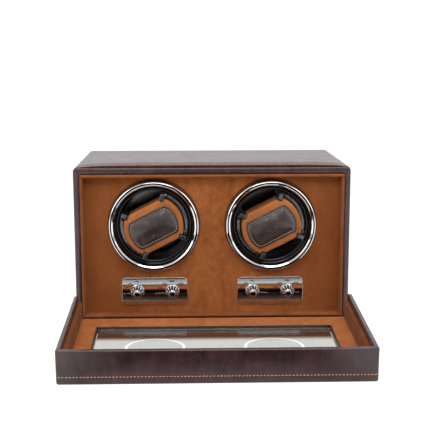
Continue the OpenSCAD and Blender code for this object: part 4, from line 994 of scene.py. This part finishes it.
def build_glass():
    a = 0.35
    x, z0, z1 = WIN_X + GLASS_LAP, WIN_Z0 - GLASS_LAP, WIN_Z1 + GLASS_LAP
    loops = []
    for inset, y in ((a, GLASS_Y), (0, GLASS_Y + a), (0, PANEL_IN_Y - a), (a, PANEL_IN_Y)):
        loops.append(outline(y, x - inset, z0 + inset, z1 - inset, 1.2 - inset, 1.2 - inset, 1, 1, 4))
    Shape().loft(loops, caps=True).piece("glass_pane", "glass_clear", "lid", "glass", "window_glass", sharp=20)


build_case()
build_base()
build_collar()
for hand in SIDES:
    for build in (build_bezel, build_sleeve, build_cup, build_holder, build_cushion, build_plate, build_marks):
        build(hand)
    build_knob(hand, -1, "direction")
    build_knob(hand, 1, "turns")
build_lid()
build_linings()
build_glass()

# The CAD pieces that keep their shapes get finished materials
FINISH = {
    "felt_brown": "base_felt", "fibre_board": "case_carcass lid_board", "suede_panel": "front_panel",
    "plastic_switch": "switches", "circuit_board": "circuit_board", "nylon_gear": "drive_gear",
    "brass_satin": "standoffs bearing pinion", "leather_flat": "back_cover",
    "plastic_black_satin": "power_inlet window_bead",
    "steel_satin": "mechanism_plate plate_screws gear_motor back_screws case_magnets lid_strike_plates "
                   "rotor_shaft motor_shaft",
    # the hinge parts are darkened as painted shade
    "hinge_metal_painted_shade": "hinge_base_leaf hinge_lid_leaf hinge_pin hinge_base_screws hinge_lid_screws",
}
KINDS = {kind: M[finish] for finish, kinds in FINISH.items() for kind in kinds.split()}
for name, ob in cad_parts.items():
    kind = name.removesuffix("_left").removesuffix("_right")
    if kind in KINDS:
        for place in ob.material_slots:
            place.material = KINDS[kind]


# ---------- studio ----------

def build_floor():
    """A white table. In gloss it is white round the object and falls off towards the dim front of the studio;
    through the glass it carries a painted shadow of the case, and two painted arcs of light where the chrome
    rings would throw them."""
    me = bpy.data.meshes.new("studio_floor")
    s = 6
    me.from_pydata([(-s, -s, 0), (s, -s, 0), (s, s, 0), (-s, s, 0)], [], [(0, 1, 2, 3)])
    floor = linked("studio_floor", me)
    t = Tree(bpy.data.materials.new("studio_floor"))
    t.nt.nodes.clear()
    t.at = t.where()
    spot = t.axes(t.at)
    y, across = spot["Y"], t.absolute(spot["X"])

    grey = t.ramp(t.noise(3, 2), (0.3, (0.8, 0.8, 0.8)), (0.7, (0.82, 0.82, 0.82)))
    lit, soft = t.node("BsdfDiffuse", {"Color": grey}), t.node("BsdfDiffuse", {"Color": (0.4, 0.4, 0.4, 1)})
    seen = t.node("AddShader", {0: soft, 1: t.node("Emission", {"Color": WHITE, "Strength": 0.9})})

    ahead = t.ease(y, -0.218, -0.275, 1.15, 0.07)
    aside = t.times(t.ease(across, 0.09, 0.165), 1.9)
    falling = t.node("Emission", {"Color": WHITE, "Strength": t.maths("MAXIMUM", ahead, aside)})

    # painted shadow of the case and painted arcs of light, seen only through the glass
    shade = t.ease(y, -0.072, -0.052, 0.86, 0.07)
    reach = t.reach(t.minus(across, ARC_X), t.minus(y, ARC_Y))
    off = t.maths("MINIMUM", t.times(t.absolute(t.minus(reach, ARC_R)), 430), 1)
    arcs = t.times(t.minus(1, off), t.maths("GREATER_THAN", y, ARC_END_Y))
    cast = t.ramp(shade, (0.08, (1, 0.52, 0.36)), (0.6, (1, 0.99, 0.97)))
    painted_shadow_and_arcs = t.node("Emission", {"Color": cast, "Strength": t.plus(t.times(shade, 0.95), t.times(arcs, 0.75))})

    path = t.node("LightPath").outputs
    shiny = t.choose(path["Is Glossy Ray"], lit, falling)
    through = t.choose(path["Is Transmission Ray"], shiny, painted_shadow_and_arcs)
    t.node("OutputMaterial", {"Surface": t.choose(path["Is Camera Ray"], through, seen)})
    me.materials.append(t.owner)


def build_world():
    """White all round, soft as light, and dark low in front for what gloss mirrors."""
    world = bpy.context.scene.world = bpy.data.worlds.new("studio")
    t = Tree(world)
    t.nt.nodes.clear()
    way = t.axes(t.node("TexCoord").outputs["Generated"])
    forward = t.maths("MAXIMUM", t.times(way["Y"], -1), 0.001)
    across = t.maths("DIVIDE", t.absolute(way["X"]), forward)
    dark = t.times(t.ease(across, 1.15, 0.75), t.ease(way["Z"], 0.2, 0.06))
    levels = (0.25, t.fit(dark, 0, 1, 1, 0.03), 1)
    soft, gloss, white = (t.node("Background", {"Color": WHITE, "Strength": level}) for level in levels)
    path = t.node("LightPath").outputs
    seen = t.maths("MAXIMUM", path["Is Camera Ray"], path["Is Transmission Ray"])
    t.node("OutputWorld", {"Surface": t.choose(seen, t.choose(path["Is Glossy Ray"], soft, gloss), white)})


build_floor()
build_world()
# place, target, size, watts
LAMPS = {"lamp_top": ((-0.05, -0.15, 1.35), (0, -0.02, 0.05), (1.5, 1), 14.5),
         "lamp_left": ((-1.5, -1.1, 0.9), (0, 0, 0.1), (0.9, 1.2), 8.5),
         "lamp_right": ((1.5, -1, 0.9), (0, 0, 0.1), (0.9, 1.2), 6.5),
         "lamp_front": ((0, -1.35, 1.15), (0, 0, 0.1), (0.8, 0.5), 7)}
for name, (place, target, (width, depth), watts) in LAMPS.items():
    light = bpy.data.lights.new(name, "AREA")
    light.shape, light.size, light.size_y, light.energy = "RECTANGLE", width, depth, watts
    ob = linked(name, light)
    ob.location = place
    ob.rotation_euler = (Vector(target) - Vector(place)).to_track_quat("-Z", "Y").to_euler()

camera = linked("camera", bpy.data.cameras.new("camera"))
camera.data.lens, camera.data.sensor_width = 85.117, 36
camera.data.shift_x, camera.data.shift_y = -0.00085, 0.06291
RIGHT, UP, BACK = ((0.9996493, -0.0263901, -0.0021994), (0.0071147, 0.1876464, 0.9822109),
                   (-0.025508, -0.9818821, 0.1877684))
turned = Matrix((RIGHT, UP, BACK)).transposed().to_4x4()
camera.matrix_world = Matrix.Translation((-0.02605, -1.12772, 0.31252)) @ turned
camera.data.clip_start, camera.data.clip_end = 0.05, 50
bpy.context.scene.camera = camera
bpy.context.scene.view_settings.view_transform = "Standard"
